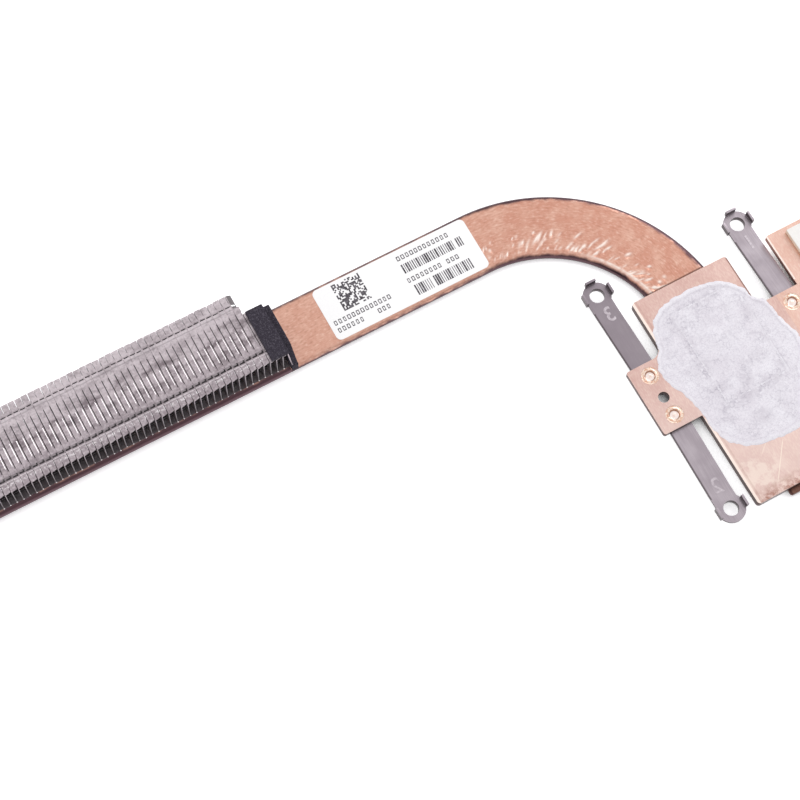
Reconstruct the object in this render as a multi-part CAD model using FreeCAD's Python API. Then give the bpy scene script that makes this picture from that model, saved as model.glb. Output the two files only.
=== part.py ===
import FreeCAD
import Part
import math
import os

from FreeCAD import Vector

# Laptop heatsink, lying with its contact face up, as it comes off the board.
# The origin is the centre of the four screw holes, on the face of the ears that meets the board.
# X runs along the fin stack, Y along the cold plate, Z up, away from the cooler's outer side.

# Screw pattern
screw_span_x = 28.0
screw_span_y = 42.4
screw_hole_d = 2.6

# Cold plate, stamped with two tabs and a wing
plate_w = 18.6
plate_len = 39.8
plate_t = 1.5
plate_mid_x = -0.95
plate_mid_y = -3.2
plate_corner_r = 0.6
contact_rise = 1.6
tab_t = 1.0
tab_len = 12.3
tab_mid_y = 0.4
left_tab_reach = 7.2
tab_corner_r = 0.4
tab_root_r = 2.0
locating_hole_d = 1.9
locating_hole_shift = -0.45
wing_w = 10.7
wing_rise = 9.95
wing_gap = 0.4

# Clinch studs pressed out of the tabs, headed over under the arms
stud_span = 7.7
stud_d = 2.2
stud_clearance = 0.05
stud_head_d = 3.0
stud_head_t = 0.3
dimple_d = 1.8
dimple_depth = 0.8
dimple_ring_d = 3.1
dimple_ring_depth = 0.08

# Spring arms, one strip of sheet steel on each side
arm_w = 4.1
arm_t = 0.4
arm_offset_x = -0.15
arm_root_margin = 0.9
ear_r = 2.45
ear_flat = 3.6
ear_lug_w = 1.9
ear_lug_reach = 0.2
ear_lug_rise = 1.0
ear_lug_bend = 0.2
ear_collar_t = 0.3
ear_collar_h = 0.7

# Flattened heat pipe
pipe_w = 11.4
pipe_t = 2.0
pipe_run_y = 39.5
pipe_plate_x = -0.4
pipe_bend_r = 26.9
pipe_tip_past_plate = 0.9
pipe_tip_past_stack = 3.2
nose_w = 7.2
nose_t = 1.3
nose_taper = 2.6
nose_len = 1.2

# Fin stack
fin_count = 50
short_fin_count = 3
fin_pitch = 1.15
fin_t = 0.2
fin_bend_r = 0.25
fin_h = 6.05
fin_depth = 13.7
fin_front_setback = 0.7
short_fin_depth = 9.6
stack_end_x = -65.4
slit_w = 0.25
slit_front = 2.9
slit_back = 9.9
lock_w = 0.35
lock_len = 0.55
front_lock = 2.0
back_lock = 11.2
torn_flange_w = 0.75
torn_flange_len = 2.6

# Foam
foam_pad_w = 3.1
foam_pad_t = 0.8
foam_pad_len = 9.7
foam_pad_front = -0.2
foam_strip_t = 1.2
foam_strip_len = 10.4
foam_strip_front = -1.0
foam_strip_below_top = 0.6

# Thermal pad on the wing
pad_w = 6.0
pad_len = 12.0
pad_t = 1.0
pad_inset_x = 3.4
pad_inset_y = 0.9
pad_corner_r = 0.3

# Label round the flat of the pipe
label_len = 29.1
label_w = 10.0
label_t = 0.08
label_from_stack = 9.2
label_corner_r = 0.8

# Dried thermal paste: outline of the smear on the contact face
paste_t = 0.15
paste_outline = [
    (-9.6, 11.0), (-7.9, 13.1), (-4.1, 14.3), (1.2, 14.4), (5.1, 13.2), (7.8, 10.6),
    (8.6, 8.2), (10.1, 6.6), (10.7, 2.5), (11.6, -1.5), (10.6, -4.6), (8.4, -6.6),
    (7.9, -10.5), (5.9, -13.9), (2.7, -15.2), (-1.7, -15.1), (-5.9, -14.1), (-9.0, -11.5),
    (-10.1, -8.0), (-10.2, -5.9), (-10.9, -1.8), (-12.3, 1.6), (-12.5, 4.0), (-11.8, 6.2),
    (-10.7, 7.5), (-10.1, 9.2),
]

# Levels and lines that follow from the sizes
z_contact = contact_rise
z_tab_back = z_contact - tab_t
z_pipe_top = z_contact - plate_t
z_pipe_mid = z_pipe_top - pipe_t / 2
z_fin_top = z_pipe_top + fin_h
plate_x0 = plate_mid_x - plate_w / 2
plate_x1 = plate_mid_x + plate_w / 2
plate_y0 = plate_mid_y - plate_len / 2
plate_y1 = plate_mid_y + plate_len / 2
tab_y0 = tab_mid_y - tab_len / 2
tab_y1 = tab_mid_y + tab_len / 2
left_arm_x = -screw_span_x / 2 + arm_offset_x
right_arm_x = screw_span_x / 2 + arm_offset_x
wing_x0 = right_arm_x + arm_w / 2 + wing_gap
wing_y1 = tab_y1 + wing_rise
stack_start_x = stack_end_x - fin_count * fin_pitch
fin_y0 = pipe_run_y - pipe_w / 2 + fin_front_setback
bend_x = pipe_plate_x - pipe_bend_r
bend_y = pipe_run_y - pipe_bend_r
tiny = 0.01


def box(x0, x1, y0, y1, z0, z1):
    return Part.makeBox(x1 - x0, y1 - y0, z1 - z0, Vector(x0, y0, z0))


def drill(x, y, diameter, z0, z1):
    return Part.makeCylinder(diameter / 2, z1 - z0, Vector(x, y, z0))


def prism(points, z0, z1):
    corners = [Vector(x, y, z0) for x, y in points]
    face = Part.Face(Part.makePolygon(corners + corners[:1]))
    return face.extrude(Vector(0, 0, z1 - z0))


def upright_edges(shape, places):
    """Edges along Z that stand at one of the given places."""
    found = []
    for edge in shape.Edges:
        a, b = edge.Vertexes[0].Point, edge.Vertexes[-1].Point
        if math.hypot(a.x - b.x, a.y - b.y) > tiny:
            continue
        if any(math.hypot(a.x - x, a.y - y) < tiny for x, y in places):
            found.append(edge)
    return found


def round_upright(shape, places, radius):
    return shape.makeFillet(radius, upright_edges(shape, places))


def one_solid(shape):
    """The single solid of a union, with its coplanar faces joined."""
    clean = shape.removeSplitter()
    return clean.Solids[0] if len(clean.Solids) == 1 else clean


def stud_places(arm_x):
    return [(arm_x, tab_mid_y + side * stud_span / 2) for side in (-1, 1)]


def locating_place(arm_x):
    return arm_x, tab_mid_y + locating_hole_shift


def sheet_outline():
    """Upper layer of the cold plate: the plate, both tabs and the wing in one outline."""
    tab_x0 = plate_x0 - left_tab_reach
    wing_x1 = wing_x0 + wing_w
    points = [
        (plate_x0, plate_y0), (plate_x1, plate_y0), (plate_x1, tab_y0), (wing_x1, tab_y0),
        (wing_x1, wing_y1), (wing_x0, wing_y1), (wing_x0, tab_y1), (plate_x1, tab_y1),
        (plate_x1, plate_y1), (plate_x0, plate_y1), (plate_x0, tab_y1), (tab_x0, tab_y1),
        (tab_x0, tab_y0), (plate_x0, tab_y0),
    ]
    sheet = prism(points, z_tab_back, z_contact)
    plate_corners = [points[0], points[1], points[8], points[9]]
    tab_corners = [points[3], points[4], points[5], points[11], points[12]]
    roots = [points[7], points[10]]
    sheet = round_upright(sheet, plate_corners, plate_corner_r)
    sheet = round_upright(sheet, tab_corners, tab_corner_r)
    return round_upright(sheet, roots, tab_root_r)


def plate_body():
    """Lower layer of the cold plate, which only the plate itself has."""
    corners = [(plate_x0, plate_y0), (plate_x1, plate_y0), (plate_x1, plate_y1), (plate_x0, plate_y1)]
    body = box(plate_x0, plate_x1, plate_y0, plate_y1, z_pipe_top, z_tab_back)
    return round_upright(body, corners, plate_corner_r)


def clinch_stud(x, y):
    """Stem through the arm and the head that holds it."""
    z_arm_back = z_tab_back - arm_t
    stem = drill(x, y, stud_d, z_arm_back, z_tab_back)
    return stem.fuse(drill(x, y, stud_head_d, z_arm_back - stud_head_t, z_arm_back))


def clinch_dimple(x, y):
    """Hollow that the punch leaves, with the shallow ring coined round it."""
    ring = drill(x, y, dimple_ring_d, z_contact - dimple_ring_depth, z_contact)
    return ring.fuse(drill(x, y, dimple_d, z_contact - dimple_depth, z_contact))


def cold_plate():
    plate = sheet_outline().fuse(plate_body())
    for arm_x in (left_arm_x, right_arm_x):
        for x, y in stud_places(arm_x):
            plate = plate.fuse(clinch_stud(x, y))
            plate = plate.cut(clinch_dimple(x, y))
        x, y = locating_place(arm_x)
        plate = plate.cut(drill(x, y, locating_hole_d, z_tab_back - tiny, z_contact + tiny))
    return one_solid(plate)


def arm_strip(arm_x):
    """Bent strip: flat under the tab, sloping down to a flat ear at each end."""
    root = tab_len / 2 + arm_root_margin
    hole_y = screw_span_y / 2
    side_line = [
        (-hole_y, 0.0), (-hole_y + ear_flat, 0.0), (tab_mid_y - root, z_tab_back),
        (tab_mid_y + root, z_tab_back), (hole_y - ear_flat, 0.0), (hole_y, 0.0),
    ]
    lower = [(y, z - arm_t) for y, z in reversed(side_line)]
    corners = [Vector(arm_x - arm_w / 2, y, z) for y, z in side_line + lower]
    face = Part.Face(Part.makePolygon(corners + corners[:1]))
    return face.extrude(Vector(arm_w, 0, 0))


def ear_lug(x, y, turn):
    """Lug beside a screw hole, bent up towards the board; turn is its direction in degrees."""
    reach = ear_r + ear_lug_reach
    half = ear_lug_w / 2
    lug = box(x + reach - arm_t, x + reach, y - half, y + half, -arm_t, ear_lug_rise)
    middles = [(edge, edge.CenterOfMass) for edge in lug.Edges]
    bend = [edge for edge, middle in middles if middle.z < tiny - arm_t and middle.x > x + reach - tiny]
    lug = lug.makeChamfer(ear_lug_bend, bend)
    bridge = box(x + screw_hole_d / 2 + arm_t, x + reach - arm_t, y - half, y + half, -arm_t, 0)
    lug = lug.fuse(bridge)
    lug.rotate(Vector(x, y, 0), Vector(0, 0, 1), turn)
    return lug


def spring_arm(side):
    """side is -1 for the left arm and 1 for the right one."""
    arm_x = left_arm_x if side < 0 else right_arm_x
    hole_x = side * screw_span_x / 2
    arm = arm_strip(arm_x)
    for end in (-1, 1):
        hole_y = end * screw_span_y / 2
        arm = arm.fuse(drill(hole_x, hole_y, 2 * ear_r, -arm_t, 0))
        turns = (0, 90, 180) if end > 0 else (0, 180)
        for turn in turns:
            arm = arm.fuse(ear_lug(hole_x, hole_y, turn))
        z_collar = -arm_t - ear_collar_h
        arm = arm.fuse(drill(hole_x, hole_y, screw_hole_d + 2 * ear_collar_t, z_collar, -arm_t))
        arm = arm.cut(drill(hole_x, hole_y, screw_hole_d, z_collar - tiny, tiny))
    z_back = z_tab_back - arm_t
    for x, y in stud_places(arm_x):
        arm = arm.cut(drill(x, y, stud_d + 2 * stud_clearance, z_back - tiny, z_tab_back + tiny))
    x, y = locating_place(arm_x)
    arm = arm.cut(drill(x, y, locating_hole_d, z_back - tiny, z_tab_back + tiny))
    return one_solid(arm)


def flat_tube_face(width, thickness, grow=0.0):
    """Cross-section of the flattened tube, across Y, centred on the origin of the YZ plane."""
    r = thickness / 2 + grow
    flat = width / 2 - thickness / 2
    top_a, top_b = Vector(0, -flat, r), Vector(0, flat, r)
    low_a, low_b = Vector(0, -flat, -r), Vector(0, flat, -r)
    edges = [
        Part.LineSegment(top_a, top_b).toShape(),
        Part.Arc(top_b, Vector(0, flat + r, 0), low_b).toShape(),
        Part.LineSegment(low_b, low_a).toShape(),
        Part.Arc(low_a, Vector(0, -flat - r, 0), top_a).toShape(),
    ]
    return Part.Face(Part.Wire(edges))


def crimped_nose():
    """Closed end of the pipe, growing along +X from its full section at the origin."""
    full = flat_tube_face(pipe_w, pipe_t).OuterWire
    small = flat_tube_face(nose_w, nose_t).OuterWire
    small.translate(Vector(nose_taper, 0, 0))
    taper = Part.makeLoft([full, small], True)
    tip = flat_tube_face(nose_w, nose_t)
    tip.translate(Vector(nose_taper, 0, 0))
    return taper.fuse(tip.extrude(Vector(nose_len, 0, 0)))


def heat_pipe():
    nose_out = nose_taper + nose_len
    far_x = stack_start_x - pipe_tip_past_stack + nose_out
    low_y = plate_y0 - pipe_tip_past_plate + nose_out
    section = flat_tube_face(pipe_w, pipe_t)
    section.translate(Vector(far_x, pipe_run_y, z_pipe_mid))
    run = section.extrude(Vector(bend_x - far_x, 0, 0))
    section.translate(Vector(bend_x - far_x, 0, 0))
    bend = section.revolve(Vector(bend_x, bend_y, z_pipe_mid), Vector(0, 0, 1), -90)
    section.rotate(Vector(bend_x, bend_y, z_pipe_mid), Vector(0, 0, 1), -90)
    leg = section.extrude(Vector(0, low_y - bend_y, 0))
    far_nose = crimped_nose()
    far_nose.rotate(Vector(0, 0, 0), Vector(0, 0, 1), 180)
    far_nose.translate(Vector(far_x, pipe_run_y, z_pipe_mid))
    low_nose = crimped_nose()
    low_nose.rotate(Vector(0, 0, 0), Vector(0, 0, 1), -90)
    low_nose.translate(Vector(pipe_plate_x, low_y, z_pipe_mid))
    return one_solid(run.multiFuse([bend, leg, far_nose, low_nose]))


def fin_profile(x):
    """Folded fin seen from the front: web with a flange along its top and its foot."""
    r, t = fin_bend_r, fin_t
    z0, z1 = z_pipe_top, z_fin_top
    outer_side = [(fin_pitch, z1), (r, z1), (0, z1 - r), (0, z0 + r), (r, z0), (fin_pitch, z0)]
    inner_side = [(fin_pitch, z0 + t), (t, z0 + t), (t, z1 - t), (fin_pitch, z1 - t)]
    corners = [Vector(x + dx, fin_y0, z) for dx, z in outer_side + inner_side]
    return Part.Face(Part.makePolygon(corners + corners[:1]))


def fin(index):
    """Fins count from the far end of the stack; the last ones are cut short for the foam."""
    x = stack_start_x + index * fin_pitch
    short = index >= fin_count - short_fin_count
    depth = short_fin_depth if short else fin_depth
    body = fin_profile(x).extrude(Vector(0, depth, 0))
    z0, z1 = z_fin_top - fin_t - tiny, z_fin_top + tiny
    slit_end = depth - slit_front if short else slit_back
    edge = x + fin_pitch
    cuts = [box(edge - slit_w, edge + tiny, fin_y0 + slit_front, fin_y0 + slit_end, z0, z1)]
    locks = (front_lock,) if short else (front_lock, back_lock)
    for lock in locks:
        start = x + fin_bend_r
        cuts.append(box(start, start + lock_w, fin_y0 + lock, fin_y0 + lock + lock_len, z0, z1))
    if index == fin_count - short_fin_count - 1:
        back = fin_y0 + depth
        cuts.append(box(edge - torn_flange_w, edge + tiny, back - torn_flange_len, back + tiny, z0, z1))
    return body.cut(Part.makeCompound(cuts))


def foam_pad():
    y0 = fin_y0 + foam_pad_front
    x1 = stack_end_x
    return box(x1 - foam_pad_w, x1, y0, y0 + foam_pad_len, z_fin_top, z_fin_top + foam_pad_t)


def foam_end_strip():
    y0 = fin_y0 + foam_strip_front
    top = z_fin_top - foam_strip_below_top
    return box(stack_end_x, stack_end_x + foam_strip_t, y0, y0 + foam_strip_len, z_pipe_top, top)


def thermal_pad():
    x0 = wing_x0 + pad_inset_x
    y1 = wing_y1 - pad_inset_y
    corners = [(x0, y1), (x0 + pad_w, y1), (x0 + pad_w, y1 - pad_len), (x0, y1 - pad_len)]
    pad = box(x0, x0 + pad_w, y1 - pad_len, y1, z_contact, z_contact + pad_t)
    return round_upright(pad, corners, pad_corner_r)


def label():
    """Sticker that covers the flat of the pipe and turns a little over its round edges."""
    x0 = stack_end_x + label_from_stack
    outer = flat_tube_face(pipe_w, pipe_t, label_t).extrude(Vector(label_len, 0, 0))
    inner = flat_tube_face(pipe_w, pipe_t).extrude(Vector(label_len, 0, 0))
    skin = outer.cut(inner)
    skin.translate(Vector(x0, pipe_run_y, z_pipe_mid))
    y0, y1 = pipe_run_y - label_w / 2, pipe_run_y + label_w / 2
    window = box(x0, x0 + label_len, y0, y1, z_pipe_mid, z_pipe_top + 2 * label_t)
    corners = [(x0, y0), (x0 + label_len, y0), (x0 + label_len, y1), (x0, y1)]
    return one_solid(skin.common(round_upright(window, corners, label_corner_r)))


def thermal_paste():
    return prism(paste_outline, z_contact, z_contact + paste_t)


def write(name, shape):
    solids = shape.Solids
    if len(solids) != 1 or not shape.isValid():
        raise ValueError(f"{name}: {len(solids)} solids, valid {shape.isValid()}")
    solids[0].exportStep(f"parts/{name}.step")


def main():
    os.makedirs("parts", exist_ok=True)
    write("heat_pipe", heat_pipe())
    write("cold_plate", cold_plate())
    write("left_spring_arm", spring_arm(-1))
    write("right_spring_arm", spring_arm(1))
    write("thermal_paste", thermal_paste())
    write("thermal_pad", thermal_pad())
    write("label", label())
    write("foam_pad", foam_pad())
    write("foam_end_strip", foam_end_strip())
    for index in range(fin_count):
        write(f"fin_{index + 1:02d}", fin(index))


main()
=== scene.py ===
import math

import bmesh
import bpy
import numpy as np
from bpy.props import FloatProperty, FloatVectorProperty, IntProperty, PointerProperty
from bpy.types import Operator, Panel, PropertyGroup
from mathutils import Matrix, Vector, noise


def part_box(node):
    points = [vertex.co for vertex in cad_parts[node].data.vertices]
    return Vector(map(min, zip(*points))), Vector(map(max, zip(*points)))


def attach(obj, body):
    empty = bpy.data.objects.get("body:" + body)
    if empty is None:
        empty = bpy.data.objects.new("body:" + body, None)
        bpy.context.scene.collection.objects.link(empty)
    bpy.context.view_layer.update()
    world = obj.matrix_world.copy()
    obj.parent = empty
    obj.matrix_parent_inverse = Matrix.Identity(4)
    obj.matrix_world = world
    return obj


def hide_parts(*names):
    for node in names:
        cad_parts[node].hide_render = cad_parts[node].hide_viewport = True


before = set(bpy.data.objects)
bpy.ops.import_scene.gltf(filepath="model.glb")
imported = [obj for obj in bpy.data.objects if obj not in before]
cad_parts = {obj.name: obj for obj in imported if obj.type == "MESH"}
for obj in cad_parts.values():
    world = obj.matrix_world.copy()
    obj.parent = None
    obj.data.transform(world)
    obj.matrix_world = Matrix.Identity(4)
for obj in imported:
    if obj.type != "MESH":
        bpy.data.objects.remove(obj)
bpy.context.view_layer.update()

bl_info = {
    "name": "Laptop heatsink",
    "version": (1, 0, 0),
    "blender": (4, 5, 0),
    "location": "3D View > Sidebar > Heatsink",
    "description": "Builds the visible surface of a laptop heat pipe heatsink on its solid model",
    "category": "Object",
}

MM = 0.001
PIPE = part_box("heat_pipe")
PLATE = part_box("cold_plate")
FIRST_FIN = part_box("fin_01")
SECOND_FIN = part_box("fin_02")
LAST_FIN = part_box("fin_50")
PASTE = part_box("thermal_paste")
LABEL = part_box("label")
FIN_NODES = sorted(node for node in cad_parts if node.startswith("fin_"))
FIN_FOOT, FIN_TOP = FIRST_FIN[0].z, FIRST_FIN[1].z
# Columns of the top flange between the hook slots, as shares of the pitch.
HOOK_COLUMNS = (0.92, 0.72, 0.14)

# Places on the solids that the finishes follow, in millimetres.
FIN_FRONT = FIRST_FIN[0].y / MM
PLATE_FOOT = PLATE[0].y / MM
ARM_SPREAD = 14.0
ARM_LEFT_EDGE = 11.8
ARM_STRIP_END = 18.5
HEAD_EDGE = 8.35
HEAD_START = 7.5
WING_EDGE = 16.3
RIGHT_TAB = 12.0
PLATE_ROLL = -9.74
PLATE_GROOVE = -9.45
# The chip's print on the paste: left, right, front and back.
CHIP = (-5.6, 6.9, -6.0, 12.0)
# The middle of the flux stain on the plate's foot.
STAIN_MIDDLE = (-7.5, -19.0, 1.6)
# Hairlines on the plate: both ends and how strongly they show.
SCRATCHES = (((-0.7, -15.4), (-5.5, -21.4), 0.75), ((-3.2, -14.4), (-5.6, -16.4), 0.45))
# Smudges on the paste: middle and radius.
SMUDGES = ((-4.6, -3.4, 0.7), (-3.4, -3.7, 0.5), (-0.2, -3.8, 0.9), (-1.7, -6.3, 0.9),
           (-0.9, -10.6, 1.1))
PASTE_MIDDLE = (-0.4, 0.2)
PASTE_OUTLINE = (
    (-9.6, 11.0), (-7.9, 13.1), (-4.1, 14.3), (1.2, 14.4), (5.1, 13.2), (7.8, 10.6), (8.6, 8.2),
    (10.1, 6.6), (10.7, 2.5), (11.6, -1.5), (10.6, -4.6), (8.4, -6.6), (7.9, -10.5), (5.9, -13.9),
    (2.7, -15.2), (-1.7, -15.1), (-5.9, -14.1), (-9.0, -11.5), (-10.1, -8.0), (-10.2, -5.9),
    (-10.9, -1.8), (-12.3, 1.6), (-12.5, 4.0), (-11.8, 6.2), (-10.7, 7.5), (-10.1, 9.2),
)
# The digits of the screw order and their places, how narrow and mirrored they are, and how much
# taller than a digit its font's size is.
DIGITS = ((1, 14.0, 17.2), (2, -14.1, -17.0), (3, -13.95, 17.2), (4, 14.0, -17.0))
DIGIT_MIRROR = -0.86
FONT_SIZE = 1.3

# Rows of print on the label: both ends, middle, height, share of the marks kept, and their kind.
PRINT_ROWS = (
    (-40.4, -28.7, 40.85, 1.75, 0.96, "bar"), (-40.2, -29.2, 36.45, 2.0, 0.94, "bar"),
    (-40.3, -29.7, 42.95, 0.85, 0.95, "stroke"), (-40.6, -29.8, 38.6, 0.85, 0.9, "stroke"),
    (-55.1, -43.4, 37.6, 0.85, 0.97, "stroke"), (-55.1, -43.9, 36.15, 0.85, 0.85, "stroke"),
)
# The speckle square: middle, side, dots along a side and share of them kept.
PRINT_SQUARE = (-50.15, 41.4, 4.9, 20, 0.52)

# The stage in metres: lamps with their places, sizes and shares of the key's power, the point they
# look at, and the camera's place and axes, which were fitted to the photograph.
LAMPS = (("key", (0.56, 0.37, 0.4), 0.42, 1.0), ("side", (-0.5, 0.35, 0.4), 0.5, 0.45))
LAMP_TARGET = Vector((-0.04, 0.02, 0))
CAMERA_PLACE = Vector((-0.11125, -0.07123, 0.29928))
CAMERA_RIGHT = Vector((0.87503, -0.48341, 0.02512))
CAMERA_UP = Vector((0.44692, 0.82674, 0.3417))
CAMERA_SHIFT = (-0.0022, 0.0005)
FLOOR_HALF = 1.5


def linear(hex_code):
    """Linear colour of an sRGB hex value."""
    channels = [int(hex_code[i:i + 2], 16) / 255 for i in (1, 3, 5)]
    return [c / 12.92 if c <= 0.04045 else ((c + 0.055) / 1.055) ** 2.4 for c in channels] + [1.0]


def length(name, description, default):
    """A length property in metres; the default is given in millimetres."""
    return FloatProperty(name=name, description=description, default=default * MM, unit="LENGTH",
                         precision=5)


def colour(name, description, hex_code):
    """A colour property whose default is an sRGB hex value."""
    return FloatVectorProperty(name=name, description=description, subtype="COLOR", size=4,
                               min=0, max=1, default=linear(hex_code))


def whole(name, description, default, low=0):
    return IntProperty(name=name, description=description, default=default, min=low)


def seed(default):
    return whole("Seed", "Start of the random numbers", default)


def add(tree, kind, inputs=(), output=None, **settings):
    """Adds a node, by default a shader node, and returns the output named or the first in use.

    The inputs are values or other nodes' outputs, in the order of the sockets or by their keys.
    """
    node = tree.nodes.new(kind if "Node" in kind else "ShaderNode" + kind)
    for key, value in settings.items():
        setattr(node, key, value)
    for key, value in inputs.items() if isinstance(inputs, dict) else enumerate(inputs):
        if isinstance(value, bpy.types.NodeSocket):
            tree.links.new(value, node.inputs[key])
        else:
            node.inputs[key].default_value = value
    if output:
        return node.outputs[output]
    return next((socket for socket in node.outputs if socket.enabled), None)


def layers(tree, base, *coats):
    """Lays coats over a colour: each is its colour and the shares whose product it covers by."""
    for tint, share, *others in coats:
        for other in others:
            share = add(tree, "Math", (share, other), operation="MULTIPLY")
        if isinstance(tint, str):
            tint = linear(tint)
        base = add(tree, "Mix", {0: share, 6: base, 7: tint}, data_type="RGBA")
    return base


def patches(tree, place, scale, detail, steps, **inputs):
    """A noise pattern and the share it gives: steps are its low and high, and the share at each."""
    inputs.update(Vector=place, Scale=scale, Detail=detail)
    pattern = add(tree, "TexNoise", inputs)
    return pattern, add(tree, "MapRange", (pattern, *steps))


def band(tree, value, middle, *steps):
    """A share that follows the distance from a middle: steps are two distances, and two shares."""
    off = add(tree, "Math", (value, middle), operation="SUBTRACT")
    off = add(tree, "Math", (off,), operation="ABSOLUTE")
    return add(tree, "MapRange", (off, *steps))


def start_material(name):
    """A new material, its empty tree and the Object coordinates in millimetres."""
    material = bpy.data.materials.new(name)
    material.use_nodes = True
    tree = material.node_tree
    tree.nodes.clear()
    place = add(tree, "TexCoord", output="Object")
    return material, tree, add(tree, "Mapping", {"Vector": place, "Scale": (1 / MM,) * 3})


def finish(material, base, reliefs, **sockets):
    """Ends a material; each relief is a strength, a height in millimetres and a pattern."""
    tree = material.node_tree
    inputs = {key.replace("_", " "): value for key, value in sockets.items()}
    for strength, height, pattern in reliefs:
        bump = {"Strength": strength, "Distance": height * MM, "Height": pattern}
        if "Normal" in inputs:
            bump["Normal"] = inputs["Normal"]
        inputs["Normal"] = add(tree, "Bump", bump)
    shader = add(tree, "BsdfPrincipled", {"Base Color": base, **inputs})
    add(tree, "OutputMaterial", {"Surface": shader})
    return material


def start_tree(name, **sockets):
    """A node tree with a geometry input and output and the named inputs."""
    tree = bpy.data.node_groups.new(name, "GeometryNodeTree")
    for socket, kind in {"Geometry": "Geometry", **sockets}.items():
        tree.interface.new_socket(socket, in_out="INPUT", socket_type="NodeSocket" + kind)
    tree.interface.new_socket("Geometry", in_out="OUTPUT", socket_type="NodeSocketGeometry")
    return tree, add(tree, "NodeGroupInput").node.outputs


def end_tree(tree, given, points, **inputs):
    """Puts the template on the points and ends the tree in real geometry with its material."""
    inputs.update(Points=points, Instance=given["Geometry"])
    copies = add(tree, "GeometryNodeInstanceOnPoints", inputs)
    real = add(tree, "GeometryNodeRealizeInstances", (copies,))
    done = add(tree, "GeometryNodeSetMaterial", {"Geometry": real, "Material": given["Finish"]})
    add(tree, "NodeGroupOutput", (done,))
    return tree


def new_object(name, data):
    """Links a mesh, curve, lamp or camera to the scene as an object at the origin."""
    thing = bpy.data.objects.new(name, data)
    bpy.context.scene.collection.objects.link(thing)
    return thing


def smooth(mesh, sharp_angle):
    """Shades a mesh smooth but for the edges sharper than the angle in degrees."""
    mesh.polygons.foreach_set("use_smooth", [True] * len(mesh.polygons))
    mesh.set_sharp_from_angle(angle=math.radians(sharp_angle))
    mesh.update()
    return mesh


def mesh_of(name, shape, sharp_angle=None):
    """Turns a working shape into a mesh and frees it."""
    mesh = bpy.data.meshes.new(name)
    shape.to_mesh(mesh)
    shape.free()
    return smooth(mesh, sharp_angle) if sharp_angle else mesh


def mesh_from(name, points, faces, sharp_angle=40):
    """A mesh with outward faces."""
    mesh = bpy.data.meshes.new(name)
    mesh.from_pydata([tuple(p) for p in points], [], faces)
    shape = bmesh.new()
    shape.from_mesh(mesh)
    bmesh.ops.recalc_face_normals(shape, faces=shape.faces)
    return mesh_of(name, shape, sharp_angle)


def joined(name, meshes, sharp_angle=None):
    """One mesh made of several."""
    shape = bmesh.new()
    for mesh in meshes:
        shape.from_mesh(mesh)
    return mesh_of(name, shape, sharp_angle)


def mesh_from_curve(curve):
    """The mesh of a curve or text, which is then removed."""
    thing = new_object(curve.name, curve)
    mesh = bpy.data.meshes.new_from_object(thing)
    bpy.data.objects.remove(thing)
    return mesh


def quads_between(rows, n, closed=True):
    """Faces between rows of n points each, in order along the rows."""
    for i in range(rows - 1):
        for j in range(n if closed else n - 1):
            k = (j + 1) % n
            yield i * n + j, i * n + k, (i + 1) * n + k, (i + 1) * n + j


def mark_points(mesh, domain="POINT", **values):
    """Stores lists of numbers on a mesh for its material."""
    for name, numbers in values.items():
        layer = mesh.attributes.new(name, "FLOAT", domain)
        layer.data.foreach_set("value", np.array(numbers, dtype=np.float32))


def apply_modifiers(thing):
    """Turns an object's modified shape into its plain mesh."""
    graph = bpy.context.evaluated_depsgraph_get()
    mesh = bpy.data.meshes.new_from_object(
        thing.evaluated_get(graph), preserve_all_data_layers=True, depsgraph=graph)
    thing.modifiers.clear()
    thing.data = mesh
    return thing


def run_tree(name, template, tree, **values):
    """Runs a node tree on a template mesh and keeps the result as a plain object."""
    thing = new_object(name, template)
    modifier = thing.modifiers.new("Build", "NODES")
    modifier.node_group = tree
    for item in tree.interface.items_tree:
        if item.name in values:
            modifier[item.identifier] = values[item.name]
    return apply_modifiers(thing)


def dress(thing, material, slot, *nodes):
    """Gives a finished piece its material, its body and the nodes it stands for; its slot is not
    used.
    """
    thing.data.materials.clear()
    thing.data.materials.append(material)
    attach(thing, "root")
    if nodes:
        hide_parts(*nodes)
    return thing


def rounded_sheet(node, name, width, lowest_wall):
    """A solid's sheet part with its sharp edges rounded, apart from those of very low walls."""
    shape = bmesh.new()
    shape.from_mesh(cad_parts[node].data)
    bmesh.ops.remove_doubles(shape, verts=shape.verts, dist=0.002 * MM)
    bmesh.ops.dissolve_limit(shape, angle_limit=math.radians(1), verts=shape.verts,
                             edges=shape.edges)
    chosen = []
    for edge in shape.edges:
        if len(edge.link_faces) != 2 or edge.calc_face_angle() < math.radians(35):
            continue
        walls = [[v.co.z for v in f.verts] for f in edge.link_faces if abs(f.normal.z) < 0.5]
        if all(max(heights) - min(heights) > lowest_wall for heights in walls):
            chosen.append(edge)
    bmesh.ops.bevel(shape, geom=chosen, offset=width, segments=3, profile=0.5, affect="EDGES",
                    clamp_overlap=True)
    sheet = new_object(name, mesh_of(name, shape, sharp_angle=30))
    even = sheet.modifiers.new("Even", "WEIGHTED_NORMAL")
    even.weight = 100
    even.keep_sharp = True
    return apply_modifiers(sheet)


def smoothstep(low, high, x):
    t = np.clip((x - low) / (high - low), 0, 1)
    return t * t * (3 - 2 * t)


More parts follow.
